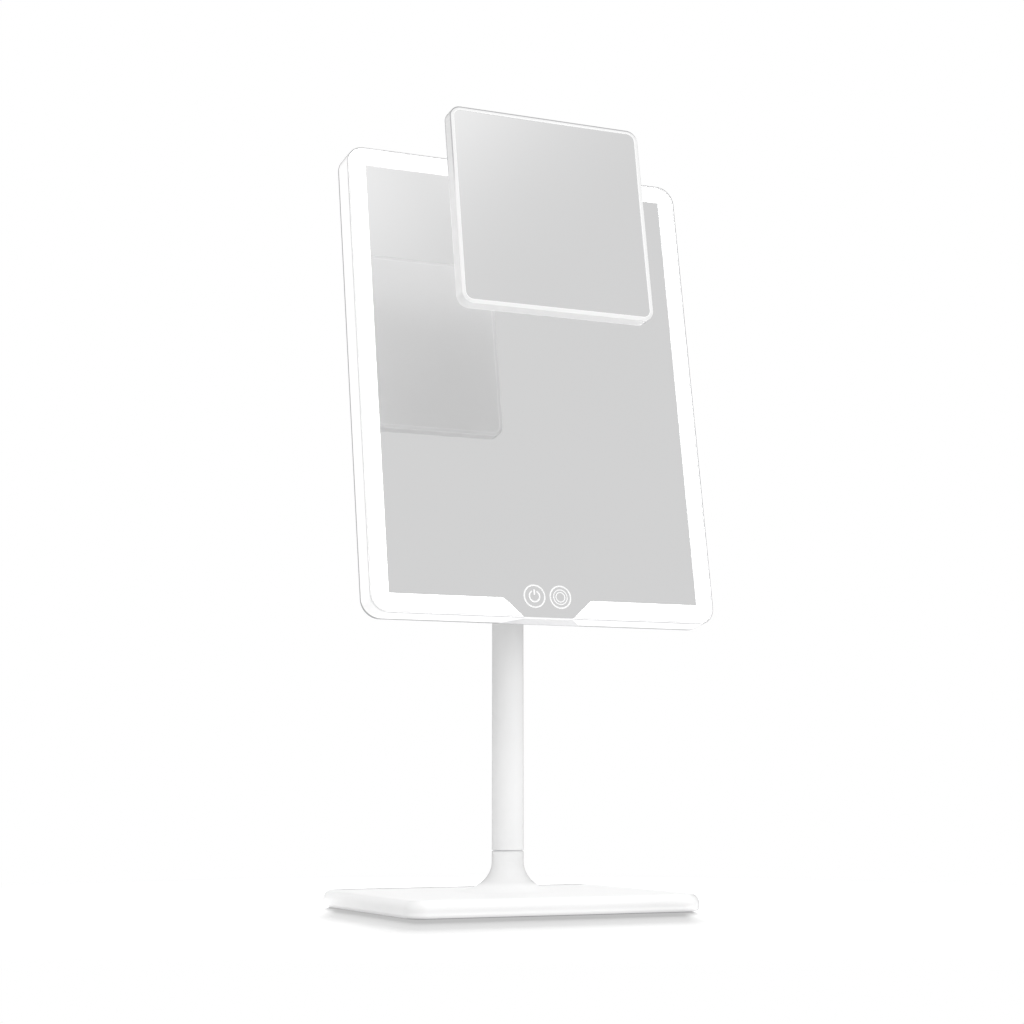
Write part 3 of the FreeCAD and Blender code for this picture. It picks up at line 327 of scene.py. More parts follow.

# Rear housing: one white moulding makes the back and the side walls of the head. Its thin lip frames the
# lit border, and its walls give off a little light: partly the border's light coming through, partly painted
# light.
HEAD_AT = (0.0, -0.03205, 0.29357)
HEAD_LEAN = 9.51
HEAD_TURN = math.radians(90 - HEAD_LEAN)
HEAD_HALF_WIDTH = 0.105
HEAD_HALF_HEIGHT = 0.1358
HEAD_CORNER = 0.0106
HEAD_DEPTH = 0.0152
HEAD_WHITE = (0.92, 0.92, 0.92)
LIP_SHADE_GREY = (0.44, 0.44, 0.45, 1)
LIP_STRIP = 0.0012
LIP_LEAST = 0.6
LIP_FADE = 0.8
TONGUE_HALF_FOOT = 0.0155
TONGUE_FADE = 0.001
UPPER_HALF_FADE = 0.01
BACK_LINE_SHADE_GREY = (0.38, 0.38, 0.39, 1)
BACK_LINE_SIDES = 0.0025
BACK_LINE_ENDS = 0.0034
BACK_ROUND_FROM, BACK_ROUND_TO = 0.0004, 0.0008
head_place = Matrix.Translation(HEAD_AT) @ Matrix.Rotation(HEAD_TURN, 4, "X")


def on_glass(tree, place, at):
    """A point's place counted from a middle on the leaning head: across, up the glass and out of it."""
    turned = {"Vector": place, "Location": at, "Rotation": (HEAD_TURN, 0.0, 0.0)}
    return put(tree, "ShaderNodeMapping", turned, vector_type="TEXTURE").outputs[0]


head_white, tree, shader, place = new_material("head_white", Emission_Strength=0.18, **SATIN_SKIN)
toned = grained(tree, shader, place, HEAD_WHITE, tone=0.01, roughness=0.42, spread=0.05)
on_head = on_glass(tree, place, HEAD_AT)
lines = edged(tree, on_head, {
    "Half Width": HEAD_HALF_WIDTH, "Half Height": HEAD_HALF_HEIGHT, "Corner": HEAD_CORNER, "Face": 0.0,
    "Back": -HEAD_DEPTH, "Face Strip Across": LIP_STRIP, "Face Strip Along": LIP_STRIP,
    "Wall Strip Across": BACK_LINE_SIDES, "Wall Strip Along": BACK_LINE_ENDS, "Face Depth": 0.00005,
})
spread = parted(tree, on_head)
# A grey line is painted round the lip, weakest towards the lower left as if lit from there, full towards the
# upper right, and left off by the tongue: painted shade.
rightward = reckon(tree, "DIVIDE", spread["X"], HEAD_HALF_WIDTH)
upward = reckon(tree, "DIVIDE", spread["Y"], HEAD_HALF_HEIGHT)
lip_shade_share = ramp(tree, reckon(tree, "ADD", rightward, upward), -LIP_FADE, LIP_FADE, LIP_LEAST, 1.0)
from_middle = reckon(tree, "ABSOLUTE", spread["X"])
off_middle = ramp(tree, from_middle, TONGUE_HALF_FOOT - TONGUE_FADE, TONGUE_HALF_FOOT + TONGUE_FADE)
upper_half = ramp(tree, spread["Y"], -UPPER_HALF_FADE, UPPER_HALF_FADE)
off_tongue = reckon(tree, "MAXIMUM", off_middle, upper_half)
lip = reckon(tree, "MULTIPLY", lines["Face Line"], reckon(tree, "MULTIPLY", lip_shade_share, off_tongue))
lipped = mixed(tree, lip, toned, LIP_SHADE_GREY)
# A grey line is painted on the walls near the back edge, and the satin skin lies on the round corners, so
# that the outline shows dark: painted shade.
off_back = ramp(tree, spread["Z"], BACK_ROUND_FROM - HEAD_DEPTH, BACK_ROUND_TO - HEAD_DEPTH)
back_line = reckon(tree, "MULTIPLY", lines["Back Line"], off_back)
tree.links.new(mixed(tree, back_line, lipped, BACK_LINE_SHADE_GREY), shader.inputs["Base Color"])
tree.links.new(lines["Round Corner"], shader.inputs["Coat Weight"])
# Away from the painted lines the walls give off a little light: partly light from the border through them,
# partly painted light.
off_lines = reckon(tree, "SUBTRACT", 1.0, reckon(tree, "MAXIMUM", back_line, lip))
paint_glow(tree, shader, reckon(tree, "MULTIPLY", lines["Wall"], off_lines))
dress(head_white, "rear_housing")

# Bottom inlay: a thin light grey plate, moulded apart and pressed into the bottom wall of the head, below
# the controls
INLAY_GREY = (0.78, 0.78, 0.79)
grey_inlay, tree, shader, place = new_material("grey_inlay", Coat_Weight=0.1, Coat_Roughness=0.3)
grained(tree, shader, place, INLAY_GREY, tone=0.02, roughness=0.45, spread=0.05)
dress(grey_inlay, "bottom_inlay")

# Carrier tray and its screws: a plain white moulding behind the pane, which throws stray light forward. Six
# steel screws hold it on the bosses of the housing.
TRAY_WHITE = (0.86, 0.86, 0.86)
inner_white, tree, shader, place = new_material("inner_white")
grained(tree, shader, place, TRAY_WHITE, tone=0.03, roughness=0.55, spread=0.06)
dress(inner_white, "carrier_tray")
dress(plain_steel, "tray_screws")

# Foam: the tape that holds the pane, the pad on the battery and the tape under the magnifier's glass, all
# cut from white foam with fine closed cells
FOAM_WALL = (0.9, 0.9, 0.89, 1)
FOAM_CELL = (0.74, 0.74, 0.73, 1)
white_foam, tree, shader, place = new_material("white_foam")
cells = put(tree, "ShaderNodeTexVoronoi", {"Vector": place, "Scale": 1400.0}).outputs["Distance"]
tree.links.new(mixed(tree, cells, FOAM_WALL, FOAM_CELL), shader.inputs["Base Color"])
tree.links.new(ramp(tree, cells, 0.0, 0.8, 0.8, 0.95), shader.inputs["Roughness"])
relief = put(tree, "ShaderNodeBump", {"Strength": 0.4, "Distance": 0.0002, "Height": cells})
tree.links.new(relief.outputs[0], shader.inputs["Normal"])
dress(white_foam, "pane_tape", "battery_foam", "magnifier_tape")

# Keeper plate: thin steel sheet, glued to the tray behind the pane. The magnifier's magnets grip it through
# the glass.
dress(plain_steel, "keeper_plate")

# Light boards: white boards with copper tracks under the lacquer, and a row of lamps with yellow phosphor.
# They lie in the channel between the tray and the side walls.
LAMP_FOOT = -0.01195
LAMP_EDGE = 0.0002
LACQUER_WHITE = (0.86, 0.88, 0.86, 1)
LACQUER_OVER_TRACK = (0.74, 0.77, 0.72, 1)
PHOSPHOR_DARK = (0.82, 0.7, 0.22, 1)
PHOSPHOR_PALE = (0.88, 0.78, 0.34, 1)
light_board, tree, shader, place = new_material("light_board", Coat_Weight=0.3, Coat_Roughness=0.2)
on_head = on_glass(tree, place, HEAD_AT)
tracks = put(
    tree, "ShaderNodeTexWave", {"Vector": on_head, "Scale": 320.0, "Distortion": 1.5, "Detail": 1.0}
).outputs["Fac"]
lacquer = mixed(tree, ramp(tree, tracks, 0.6, 0.8), LACQUER_WHITE, LACQUER_OVER_TRACK)
phosphor = mixed(tree, tracks, PHOSPHOR_DARK, PHOSPHOR_PALE)
is_lamp = ramp(tree, parted(tree, on_head)["Z"], LAMP_FOOT, LAMP_FOOT + LAMP_EDGE)
tree.links.new(mixed(tree, is_lamp, lacquer, phosphor), shader.inputs["Base Color"])
tree.links.new(ramp(tree, is_lamp, 0.0, 1.0, 0.35, 0.55), shader.inputs["Roughness"])
dress(
    light_board, "light_board_left", "light_board_right", "light_board_top", "light_board_foot_left",
    "light_board_foot_right",
)

# Control board and charging board: green lacquered boards with tracks, one behind the touch marks and one
# behind the socket, and two soft rubber pads that carry the touch
BOARD_GREEN = (0.03, 0.16, 0.07, 1)
TRACK_GREEN = (0.07, 0.27, 0.12, 1)
circuit_board, tree, shader, place = new_material("circuit_board", Coat_Weight=0.4, Coat_Roughness=0.15)
on_head = on_glass(tree, place, HEAD_AT)
tracks = put(
    tree, "ShaderNodeTexBrick", {"Vector": on_head, "Scale": 420.0, "Mortar Size": 0.06}
).outputs["Fac"]
tree.links.new(mixed(tree, tracks, BOARD_GREEN, TRACK_GREEN), shader.inputs["Base Color"])
tree.links.new(ramp(tree, tracks, 0.0, 1.0, 0.3, 0.42), shader.inputs["Roughness"])
dress(circuit_board, "control_board", "charge_board")
dress(soft_rubber, "touch_pads")

# Battery: a flat pouch of sealed foil with fine creases. It lies on the floor of the housing, and its foam
# pad keeps it still under the tray.
FOIL_DARK = (0.56, 0.57, 0.59, 1)
FOIL_BRIGHT = (0.74, 0.75, 0.77, 1)
battery_foil, tree, shader, place = new_material("battery_foil", Metallic=0.85)
creases = put(
    tree, "ShaderNodeTexNoise", {"Vector": place, "Scale": 70.0, "Detail": 5.0, "Distortion": 0.8}
).outputs[0]
tree.links.new(mixed(tree, creases, FOIL_DARK, FOIL_BRIGHT), shader.inputs["Base Color"])
tree.links.new(ramp(tree, creases, 0.3, 0.7, 0.3, 0.5), shader.inputs["Roughness"])
relief = put(tree, "ShaderNodeBump", {"Strength": 0.3, "Distance": 0.0004, "Height": creases})
tree.links.new(relief.outputs[0], shader.inputs["Normal"])
dress(battery_foil, "battery_pack")

# Charging socket: a pressed steel shell on its board, with its mouth in the back wall and two rows of gilt
# contacts on its blade
SOCKET_GREY = (0.62, 0.62, 0.64)
GILT = (0.86, 0.62, 0.25)
SOCKET_DOWN = -0.070
BLADE_HALF = 0.00035
CONTACT_COUNT = 12
CONTACT_PITCH = 0.0005
CONTACT_WIDTH = 0.00026
CONTACT_THICK = 0.00005
CONTACT_FROM = -0.0135
CONTACT_TO = -0.0090
socket_steel, tree, shader, place = new_material("socket_steel", Metallic=1.0)
grained(tree, shader, place, SOCKET_GREY, tone=0.12, roughness=0.3, spread=0.06, scale=1600.0, bump=0.06)
dress(socket_steel, "charge_socket")
gilt, tree, shader, place = new_material("gilt", Metallic=1.0)
grained(tree, shader, place, GILT, tone=0.1, roughness=0.25, spread=0.05, scale=1600.0, bump=0.05)


def new_growth(name, inputs):
    """An empty tree that grows a mesh from named sizes, and the nodes where they come in and go out."""
    growth = bpy.data.node_groups.new(name, "GeometryNodeTree")
    growth.is_modifier = True
    growth.interface.new_socket(name="Geometry", in_out="OUTPUT", socket_type="NodeSocketGeometry")
    for socket, kind in inputs.items():
        growth.interface.new_socket(name=socket, in_out="INPUT", socket_type=f"NodeSocket{kind}")
    growth.interface.new_socket(name="Material", in_out="INPUT", socket_type="NodeSocketMaterial")
    return growth, growth.nodes.new("NodeGroupInput").outputs, growth.nodes.new("NodeGroupOutput").inputs


def end_growth(growth, geometry, given, result):
    """Ends a tree in one plain mesh with its material."""
    real = put(growth, "GeometryNodeRealizeInstances", {0: geometry}).outputs[0]
    finished = put(growth, "GeometryNodeSetMaterial", {"Geometry": real, "Material": given["Material"]})
    growth.links.new(finished.outputs[0], result["Geometry"])


def grow(growth, sizes, move):
    """The plain mesh that a tree makes from its sizes, put in its place."""
    start = bpy.data.objects.new("start", bpy.data.meshes.new("start"))
    bpy.context.scene.collection.objects.link(start)
    modifier = start.modifiers.new("growth", "NODES")
    modifier.node_group = growth
    for item in growth.interface.items_tree:
        if item.in_out == "INPUT":
            modifier[item.identifier] = sizes[item.name]
    bpy.context.view_layer.update()
    shape = bpy.data.meshes.new_from_object(start.evaluated_get(bpy.context.evaluated_depsgraph_get()))
    bpy.data.objects.remove(start)
    shape.transform(move)
    return shape


def join(name, material, shapes, body):
    """One piece made of several meshes, which rides on a body."""
    whole = bmesh.new()
    for shape in shapes:
        whole.from_mesh(shape)
        bpy.data.meshes.remove(shape)
    bmesh.ops.remove_doubles(whole, verts=whole.verts, dist=1e-6)
    bmesh.ops.recalc_face_normals(whole, faces=whole.faces)
    mesh = bpy.data.meshes.new(name)
    whole.to_mesh(mesh)
    whole.free()
    mesh.materials.clear()
    mesh.materials.append(material)
    piece = bpy.data.objects.new(name, mesh)
    bpy.context.scene.collection.objects.link(piece)
    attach(piece, body)


contact_row, given, result = new_growth(
    "contact_row",
    {"Count": "Int", "Pitch": "Float", "Width": "Float", "Length": "Float", "Thickness": "Float"},
)
step = put(contact_row, "ShaderNodeCombineXYZ", {"X": given["Pitch"]}).outputs[0]
row = put(contact_row, "GeometryNodeMeshLine", {"Count": given["Count"], "Offset": step}).outputs[0]
bar_size = put(
    contact_row, "ShaderNodeCombineXYZ", {"X": given["Width"], "Y": given["Thickness"], "Z": given["Length"]}
).outputs[0]
bar = put(contact_row, "GeometryNodeMeshCube", {"Size": bar_size}).outputs["Mesh"]
bars = put(contact_row, "GeometryNodeInstanceOnPoints", {"Points": row, "Instance": bar}).outputs[0]
end_growth(contact_row, bars, given, result)
contact_sizes = {
    "Count": CONTACT_COUNT, "Pitch": CONTACT_PITCH, "Width": CONTACT_WIDTH,
    "Length": CONTACT_TO - CONTACT_FROM, "Thickness": CONTACT_THICK, "Material": gilt,
}
first_contact = -CONTACT_PITCH * (CONTACT_COUNT - 1) / 2
contact_rows = []
for side in (-1, 1):
    at = (first_contact, SOCKET_DOWN + side * BLADE_HALF, (CONTACT_FROM + CONTACT_TO) / 2)
    contact_rows.append(grow(contact_row, contact_sizes, head_place @ Matrix.Translation(at)))
join("socket_contacts", gilt, contact_rows, "head")

# Light frame: frosted acrylic, moulded in one with the opening for the tongue, and lit from behind by the
# boards, so that it glows an even white
BAND_WHITE = (0.95, 0.95, 0.95)
BAND_EDGE_SHADE = (0.6, 0.6, 0.6, 1)
BAND_EDGE_STRIP = 0.0014
BAND_SEEN = 0.3
BAND_THROWN = 5.0
frosted_white, tree, shader, place = new_material("frosted_white")
toned = grained(
    tree, shader, place, BAND_WHITE, tone=0.01, roughness=0.5, spread=0.05, scale=3000.0, bump=0.05
)
lines = edged(tree, on_glass(tree, place, HEAD_AT), {
    "Half Width": HEAD_HALF_WIDTH, "Half Height": HEAD_HALF_HEIGHT, "Corner": HEAD_CORNER, "Face": 0.0,
    "Back": -HEAD_DEPTH, "Face Strip Across": BAND_EDGE_STRIP, "Face Strip Along": BAND_EDGE_STRIP,
    "Face Depth": 0.0005,
})
# The outermost strip of the frame, under the lip, is painted grey in colour and glow: painted shade.
tree.links.new(mixed(tree, lines["Face Line"], toned, BAND_EDGE_SHADE), shader.inputs["Base Color"])
band_glow = mixed(tree, 0.5, toned, WHITE)
tree.links.new(mixed(tree, lines["Face Line"], band_glow, BAND_EDGE_SHADE), shader.inputs["Emission Color"])
looked_at = put(tree, "ShaderNodeLightPath").outputs["Is Camera Ray"]
tree.links.new(ramp(tree, looked_at, 0.0, 1.0, BAND_THROWN, BAND_SEEN), shader.inputs["Emission Strength"])
dress(frosted_white, "light_frame")

# Mirror pane: a silvered sheet cut to its tongue, with polished edges, taped to the tray. Its silvering
# takes a third of the light.
SILVER = (0.655, 0.655, 0.657)
silvered, tree, shader, place = new_material("silvered", Metallic=1.0)
grained(tree, shader, place, SILVER, tone=0.006, roughness=0.03, spread=0.006, scale=60.0, bump=0.0)
dress(silvered, "mirror_pane")

# Touch marks: white rings printed on the pane and lit from the control board. The left one switches the
# mirror on, the right one sets its light.
MARK_WHITE = (0.95, 0.95, 0.95)
MARK_ACROSS = 0.0079
MARK_OVER_FOOT = 0.01265
MARK_UP = MARK_OVER_FOOT - HEAD_HALF_HEIGHT
MARK_RADIUS = 0.00622
MARK_LINE = 0.0009
FINE_LINE = 0.0006
SWITCH_RADIUS = 0.0031
SWITCH_OPENING = math.radians(54)
SWITCH_STROKE = (0.0012, 0.0034)
LIGHT_RADII = (0.00415, 0.0027)
PRINT_DEPTH = 0.00006
RING_POINTS = 72
STROKE_END_STEPS = 8
mark_white, tree, shader, place = new_material("mark_white", Emission_Strength=0.22)
toned = grained(
    tree, shader, place, MARK_WHITE, tone=0.01, roughness=0.5, spread=0.05, scale=3000.0, bump=0.0
)
tree.links.new(mixed(tree, 0.5, toned, WHITE), shader.inputs["Emission Color"])

printed_line, given, result = new_growth(
    "printed_line",
    {"Points": "Int", "Radius": "Float", "Start": "Float", "Sweep": "Float", "Closed": "Bool",
     "Line Width": "Float", "Depth": "Float"},
)
arc = put(
    printed_line, "GeometryNodeCurveArc",
    {"Resolution": given["Points"], "Radius": given["Radius"], "Start Angle": given["Start"],
     "Sweep Angle": given["Sweep"]},
).outputs[0]
ring = put(
    printed_line, "GeometryNodeSetSplineCyclic", {"Geometry": arc, "Cyclic": given["Closed"]}
).outputs[0]
strip = put(
    printed_line, "GeometryNodeCurvePrimitiveQuadrilateral",
    {"Width": given["Line Width"], "Height": given["Depth"]},
).outputs[0]
line = put(
    printed_line, "GeometryNodeCurveToMesh", {"Curve": ring, "Profile Curve": strip, "Fill Caps": True}
).outputs[0]
end_growth(printed_line, line, given, result)


def printed(side, radius, width, opening=0.0):
    """One printed ring of a mark, with an opening at its top where there is one."""
    sweep = math.tau - opening if opening else math.tau * (RING_POINTS - 1) / RING_POINTS
    sizes = {
        "Points": RING_POINTS, "Radius": radius, "Start": math.pi / 2 + opening / 2, "Sweep": sweep,
        "Closed": not opening, "Line Width": width, "Depth": PRINT_DEPTH, "Material": mark_white,
    }
    at = Matrix.Translation((side * MARK_ACROSS, MARK_UP, PRINT_DEPTH / 2))
    return grow(printed_line, sizes, head_place @ at)


def stroke(side, low, high, width):
    """The upright stroke of the switch mark, with round ends."""
    outline = bmesh.new()
    half = width / 2
    rim = []
    for end, start in ((high, 0.0), (low, math.pi)):
        for turn in range(STROKE_END_STEPS + 1):
            angle = start + math.pi * turn / STROKE_END_STEPS
            rim.append(outline.verts.new((half * math.cos(angle), end + half * math.sin(angle), 0.0)))
    face = outline.faces.new(rim)
    raised = bmesh.ops.extrude_face_region(outline, geom=[face])
    lifted = [item for item in raised["geom"] if isinstance(item, bmesh.types.BMVert)]
    bmesh.ops.translate(outline, verts=lifted, vec=(0, 0, PRINT_DEPTH))
    shape = bpy.data.meshes.new("stroke")
    outline.to_mesh(shape)
    outline.free()
    shape.transform(head_place @ Matrix.Translation((side * MARK_ACROSS, MARK_UP, 0)))
    return shape


switch_mark = [
    printed(-1, MARK_RADIUS, MARK_LINE), printed(-1, SWITCH_RADIUS, MARK_LINE, SWITCH_OPENING),
    stroke(-1, *SWITCH_STROKE, MARK_LINE),
]
join("switch_mark", mark_white, switch_mark, "head")
light_mark = [printed(1, MARK_RADIUS, MARK_LINE)]
light_mark += [printed(1, radius, FINE_LINE) for radius in LIGHT_RADII]
join("light_mark", mark_white, light_mark, "head")

# Magnifier frame and back: satin white mouldings, a little greyer than the lit head. The frame is softly
# rounded in front and behind, and the back is pressed into it.
MAGNIFIER_AT = (-0.0304, -0.114686, 0.366221)
MAGNIFIER_HALF = 0.0554
MAGNIFIER_CORNER = 0.0063
MAGNIFIER_DEPTH = 0.0082
MAGNIFIER_WHITE = (0.8, 0.8, 0.8)
MAGNIFIER_BEHIND_PAINTED_LIGHT = (0.9, 0.9, 0.9, 1)
MAGNIFIER_SHADE_LINE = (0.55, 0.55, 0.56, 1)
MAGNIFIER_STRIPS = {
    "Face Strip Across": 0.0004, "Face Strip Along": 0.001, "Wall Strip Across": 0.0017,
    "Wall Strip Along": 0.0003,
}
BEHIND_FROM, BEHIND_TO = 0.0006, 0.0010
BACK_EDGE_FROM, BACK_EDGE_TO = 0.0003, 0.0006
FRONT_FROM, FRONT_TO = MAGNIFIER_DEPTH - 0.0006, MAGNIFIER_DEPTH - 0.0002
INNER_FROM, INNER_TO = 0.0018, 0.002
OUTLINE_LEAST = 0.08
OUTLINE_FULL_UP = 0.03
FRONT_LIT = 0.55
BEHIND_LIT_LOW, BEHIND_LIT_HIGH = 0.2, 0.38
BACK_LIT_LOW, BACK_LIT_HIGH = 0.5, 1.0
LIT_FULL_UP = MAGNIFIER_HALF - 0.0004
MAGNIFIER_BACK_WHITE = (0.9, 0.9, 0.9)
magnifier_place = Matrix.Translation(MAGNIFIER_AT) @ Matrix.Rotation(HEAD_TURN, 4, "X")
magnifier_white, tree, shader, place = new_material("magnifier_white", Emission_Strength=0.4, **SATIN_SKIN)
toned = grained(tree, shader, place, MAGNIFIER_WHITE, tone=0.01, roughness=0.42, spread=0.05)
on_magnifier = on_glass(tree, place, MAGNIFIER_AT)
lines = edged(tree, on_magnifier, {
    "Half Width": MAGNIFIER_HALF, "Half Height": MAGNIFIER_HALF, "Corner": MAGNIFIER_CORNER,
    "Face": MAGNIFIER_DEPTH, "Back": 0.0, "Face Depth": 0.0008, **MAGNIFIER_STRIPS,
})
# Grey lines are painted along the front and back edges of the frame, faint low down and full towards the top,
# and the satin skin lies on the round corners: painted shade lines.
tree.links.new(lines["Round Corner"], shader.inputs["Coat Weight"])
spread = parted(tree, on_magnifier)
upper = ramp(tree, spread["Y"], 0.0, OUTLINE_FULL_UP, OUTLINE_LEAST, 1.0)
off_back = ramp(tree, spread["Z"], BACK_EDGE_FROM, BACK_EDGE_TO)
back_line = reckon(tree, "MULTIPLY", lines["Back Line"], off_back)
outline = reckon(tree, "MULTIPLY", reckon(tree, "MAXIMUM", lines["Face Line"], back_line), upper)
# The rearmost millimetre of the frame is lighter in colour: painted light.
behind = ramp(tree, spread["Z"], BEHIND_FROM, BEHIND_TO, 1.0, 0.0)
behind_painted_light = mixed(tree, behind, toned, MAGNIFIER_BEHIND_PAINTED_LIGHT)
tree.links.new(mixed(tree, outline, behind_painted_light, MAGNIFIER_SHADE_LINE), shader.inputs["Base Color"])
# The frame gives off light of its own on its front, on its faces away from the outer walls, and at its back
# more towards the top, while the painted lines stay dark: painted light.
front = ramp(tree, spread["Z"], FRONT_FROM, FRONT_TO)
inner = ramp(tree, lines["Inside"], INNER_FROM, INNER_TO)
behind_light = ramp(tree, spread["Y"], 0.0, LIT_FULL_UP, BEHIND_LIT_LOW, BEHIND_LIT_HIGH)
painted_light_behind = reckon(tree, "MULTIPLY", behind, behind_light)
painted_front_light = reckon(tree, "MULTIPLY", front, FRONT_LIT)
lit = reckon(tree, "MAXIMUM", painted_front_light, reckon(tree, "MAXIMUM", inner, painted_light_behind))
paint_glow(tree, shader, reckon(tree, "MULTIPLY", lit, reckon(tree, "SUBTRACT", 1.0, outline)))
dress(magnifier_white, "magnifier_frame")
magnifier_plain, tree, shader, place = new_material(
    "magnifier_plain", Coat_Weight=0.1, Coat_Roughness=0.3, Emission_Strength=0.2
)
grained(tree, shader, place, MAGNIFIER_BACK_WHITE, tone=0.02, roughness=0.45, spread=0.05)
# The back gives off a little light of its own, more towards the top: painted light.
upward = parted(tree, on_glass(tree, place, MAGNIFIER_AT))["Y"]
paint_glow(tree, shader, ramp(tree, upward, 0.0, LIT_FULL_UP, BACK_LIT_LOW, BACK_LIT_HIGH))
dress(magnifier_plain, "magnifier_back")

# Magnifier magnets: four nickel-plated discs, glued into seats in the back. They hold the magnifier to the
# keeper plate through the pane.
NICKEL = (0.66, 0.65, 0.63)
nickel, tree, shader, place = new_material("nickel", Metallic=1.0)
grained(tree, shader, place, NICKEL, tone=0.1, roughness=0.22, spread=0.05, scale=1200.0, bump=0.05)
dress(nickel, "magnifier_magnets")

# Magnifier mirror: slightly hollow silvered glass with a polished edge, taped into its frame. The hollow is
# part of a ball three metres in radius, and meets the full thickness at the corners.
GLASS_HALF = 0.0533
GLASS_CORNER = 0.0042
GLASS_BACK = 0.0046
GLASS_FRONT = 0.0079
BALL_RADIUS = 3.0
RING_COUNT = 24
CORNER_STEPS = 6
SIDE_STEPS = 18
straight = GLASS_HALF - GLASS_CORNER
corner_reach = straight * math.sqrt(2) + GLASS_CORNER
ball_centre = GLASS_FRONT + math.sqrt(BALL_RADIUS ** 2 - corner_reach ** 2)
glass_rim = []
for quarter in range(4):
    turn = Matrix.Rotation(quarter * math.pi / 2, 2)
    for step in range(SIDE_STEPS):
        glass_rim.append(turn @ Vector((GLASS_HALF, straight * (2 * step / SIDE_STEPS - 1))))
    for step in range(CORNER_STEPS):
        angle = math.pi / 2 * step / CORNER_STEPS
        bend = Vector((math.cos(angle), math.sin(angle))) * GLASS_CORNER
        glass_rim.append(turn @ (Vector((straight, straight)) + bend))
glass = bmesh.new()
rings = []
for number in range(1, RING_COUNT + 1):
    spots = [point * (number / RING_COUNT) for point in glass_rim]
    depths = [ball_centre - math.sqrt(BALL_RADIUS ** 2 - spot.length_squared) for spot in spots]
    rings.append([glass.verts.new((*spot, depth)) for spot, depth in zip(spots, depths)])
rings.append([glass.verts.new((*point, GLASS_BACK)) for point in glass_rim])
middle = glass.verts.new((0.0, 0.0, ball_centre - BALL_RADIUS))
rim_count = len(glass_rim)
for now in range(rim_count):
    after = (now + 1) % rim_count
    glass.faces.new((middle, rings[0][now], rings[0][after])).smooth = True
    for inner_ring, outer_ring in zip(rings, rings[1:]):
        side = (inner_ring[now], outer_ring[now], outer_ring[after], inner_ring[after])
        glass.faces.new(side).smooth = True
glass.faces.new(reversed(rings[-1]))
glass_mesh = bpy.data.meshes.new("hollow_glass")
glass.to_mesh(glass_mesh)
glass.free()
ball_middle = Vector((0.0, 0.0, ball_centre))
glass_normals = []
for face in glass_mesh.polygons:
    hollow = face.normal.z > 0.9
    for corner in face.loop_indices:
        point = glass_mesh.vertices[glass_mesh.loops[corner].vertex_index].co
        glass_normals.append((ball_middle - point).normalized() if hollow else face.normal.copy())
glass_mesh.normals_split_custom_set(glass_normals)
glass_mesh.transform(magnifier_place)
glass_mesh.materials.append(silvered)
hollow_glass = bpy.data.objects.new("hollow_glass", glass_mesh)
bpy.context.scene.collection.objects.link(hollow_glass)
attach(hollow_glass, "magnifier")
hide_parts("magnifier_mirror")

# Floor: a pale sweep of matt paper that fades into the white behind, washed with light from low behind, so
# that the flat base throws a soft shadow forward
FLOOR_HALF = 8.0
FLOOR_GREY = (0.12, 0.12, 0.12, 1)
FLOOR_FADE_FROM, FLOOR_FADE_TO = 0.24, 0.45
WASH_AT = (1.09, 2.36)
WASH_WIDTH = 0.45
WASHES = (("low_wash", 0.186, 0.096, 3080.0), ("high_wash", 0.39, 0.312, 1231.0))
floor_mesh = bpy.data.meshes.new("floor")
floor_corners = [(x * FLOOR_HALF, y * FLOOR_HALF, 0.0) for x, y in ((-1, -1), (1, -1), (1, 1), (-1, 1))]
floor_mesh.from_pydata(floor_corners, [], [(0, 1, 2, 3)])
floor = bpy.data.objects.new("floor", floor_mesh)
bpy.context.scene.collection.objects.link(floor)
pale_floor, tree, shader, place = new_material(
    "pale_floor", Base_Color=FLOOR_GREY, Roughness=0.9, Specular_IOR_Level=0.0, Emission_Color=WHITE,
    Emission_Strength=0.42,
)
distance = put(tree, "ShaderNodeVectorMath", {0: place}, operation="LENGTH").outputs["Value"]
far = ramp(tree, distance, FLOOR_FADE_FROM, FLOOR_FADE_TO)
sweep = put(tree, "ShaderNodeEmission", {"Color": WHITE, "Strength": 1.0}).outputs[0]
fading = put(tree, "ShaderNodeMixShader", {0: far, 1: shader.outputs[0], 2: sweep}).outputs[0]
tree.links.new(fading, tree.nodes["Material Output"].inputs["Surface"])
floor_mesh.materials.append(pale_floor)


def lamp(name, at, towards, width, height, power):
    """A soft rectangular lamp that no ray of the picture sees directly."""
    light = bpy.data.lights.new(name, "AREA")
    light.shape = "RECTANGLE"
    light.size = width
    light.size_y = height
    light.energy = power
    made = bpy.data.objects.new(name, light)
    made.location = at
    made.rotation_euler = (Vector(towards) - Vector(at)).to_track_quat("-Z", "Y").to_euler()
    made.visible_camera = False
    made.visible_glossy = False
    bpy.context.scene.collection.objects.link(made)
    return made


def shine_on(lit, receivers, blockers):
    """Lets a lamp light only some objects, and only some of them throw its shadow."""
    for links, members in (("receiver_collection", receivers), ("blocker_collection", blockers)):
        chosen = bpy.data.collections.new(f"{lit.name}_{links}")
        for member in members:
            chosen.objects.link(member)
        setattr(lit.light_linking, links, chosen)


def pieces(*names):
    """The carried-over nodes of these names."""
    return [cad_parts[name] for name in names]


base_slab = pieces("ballast_plate", "bottom_plate", "base_pad")
for name, wash_up, tall, power in WASHES:
    wash = lamp(name, at=(*WASH_AT, wash_up), towards=(0, 0, 0), width=WASH_WIDTH, height=tall, power=power)
    shine_on(wash, [floor], base_slab)

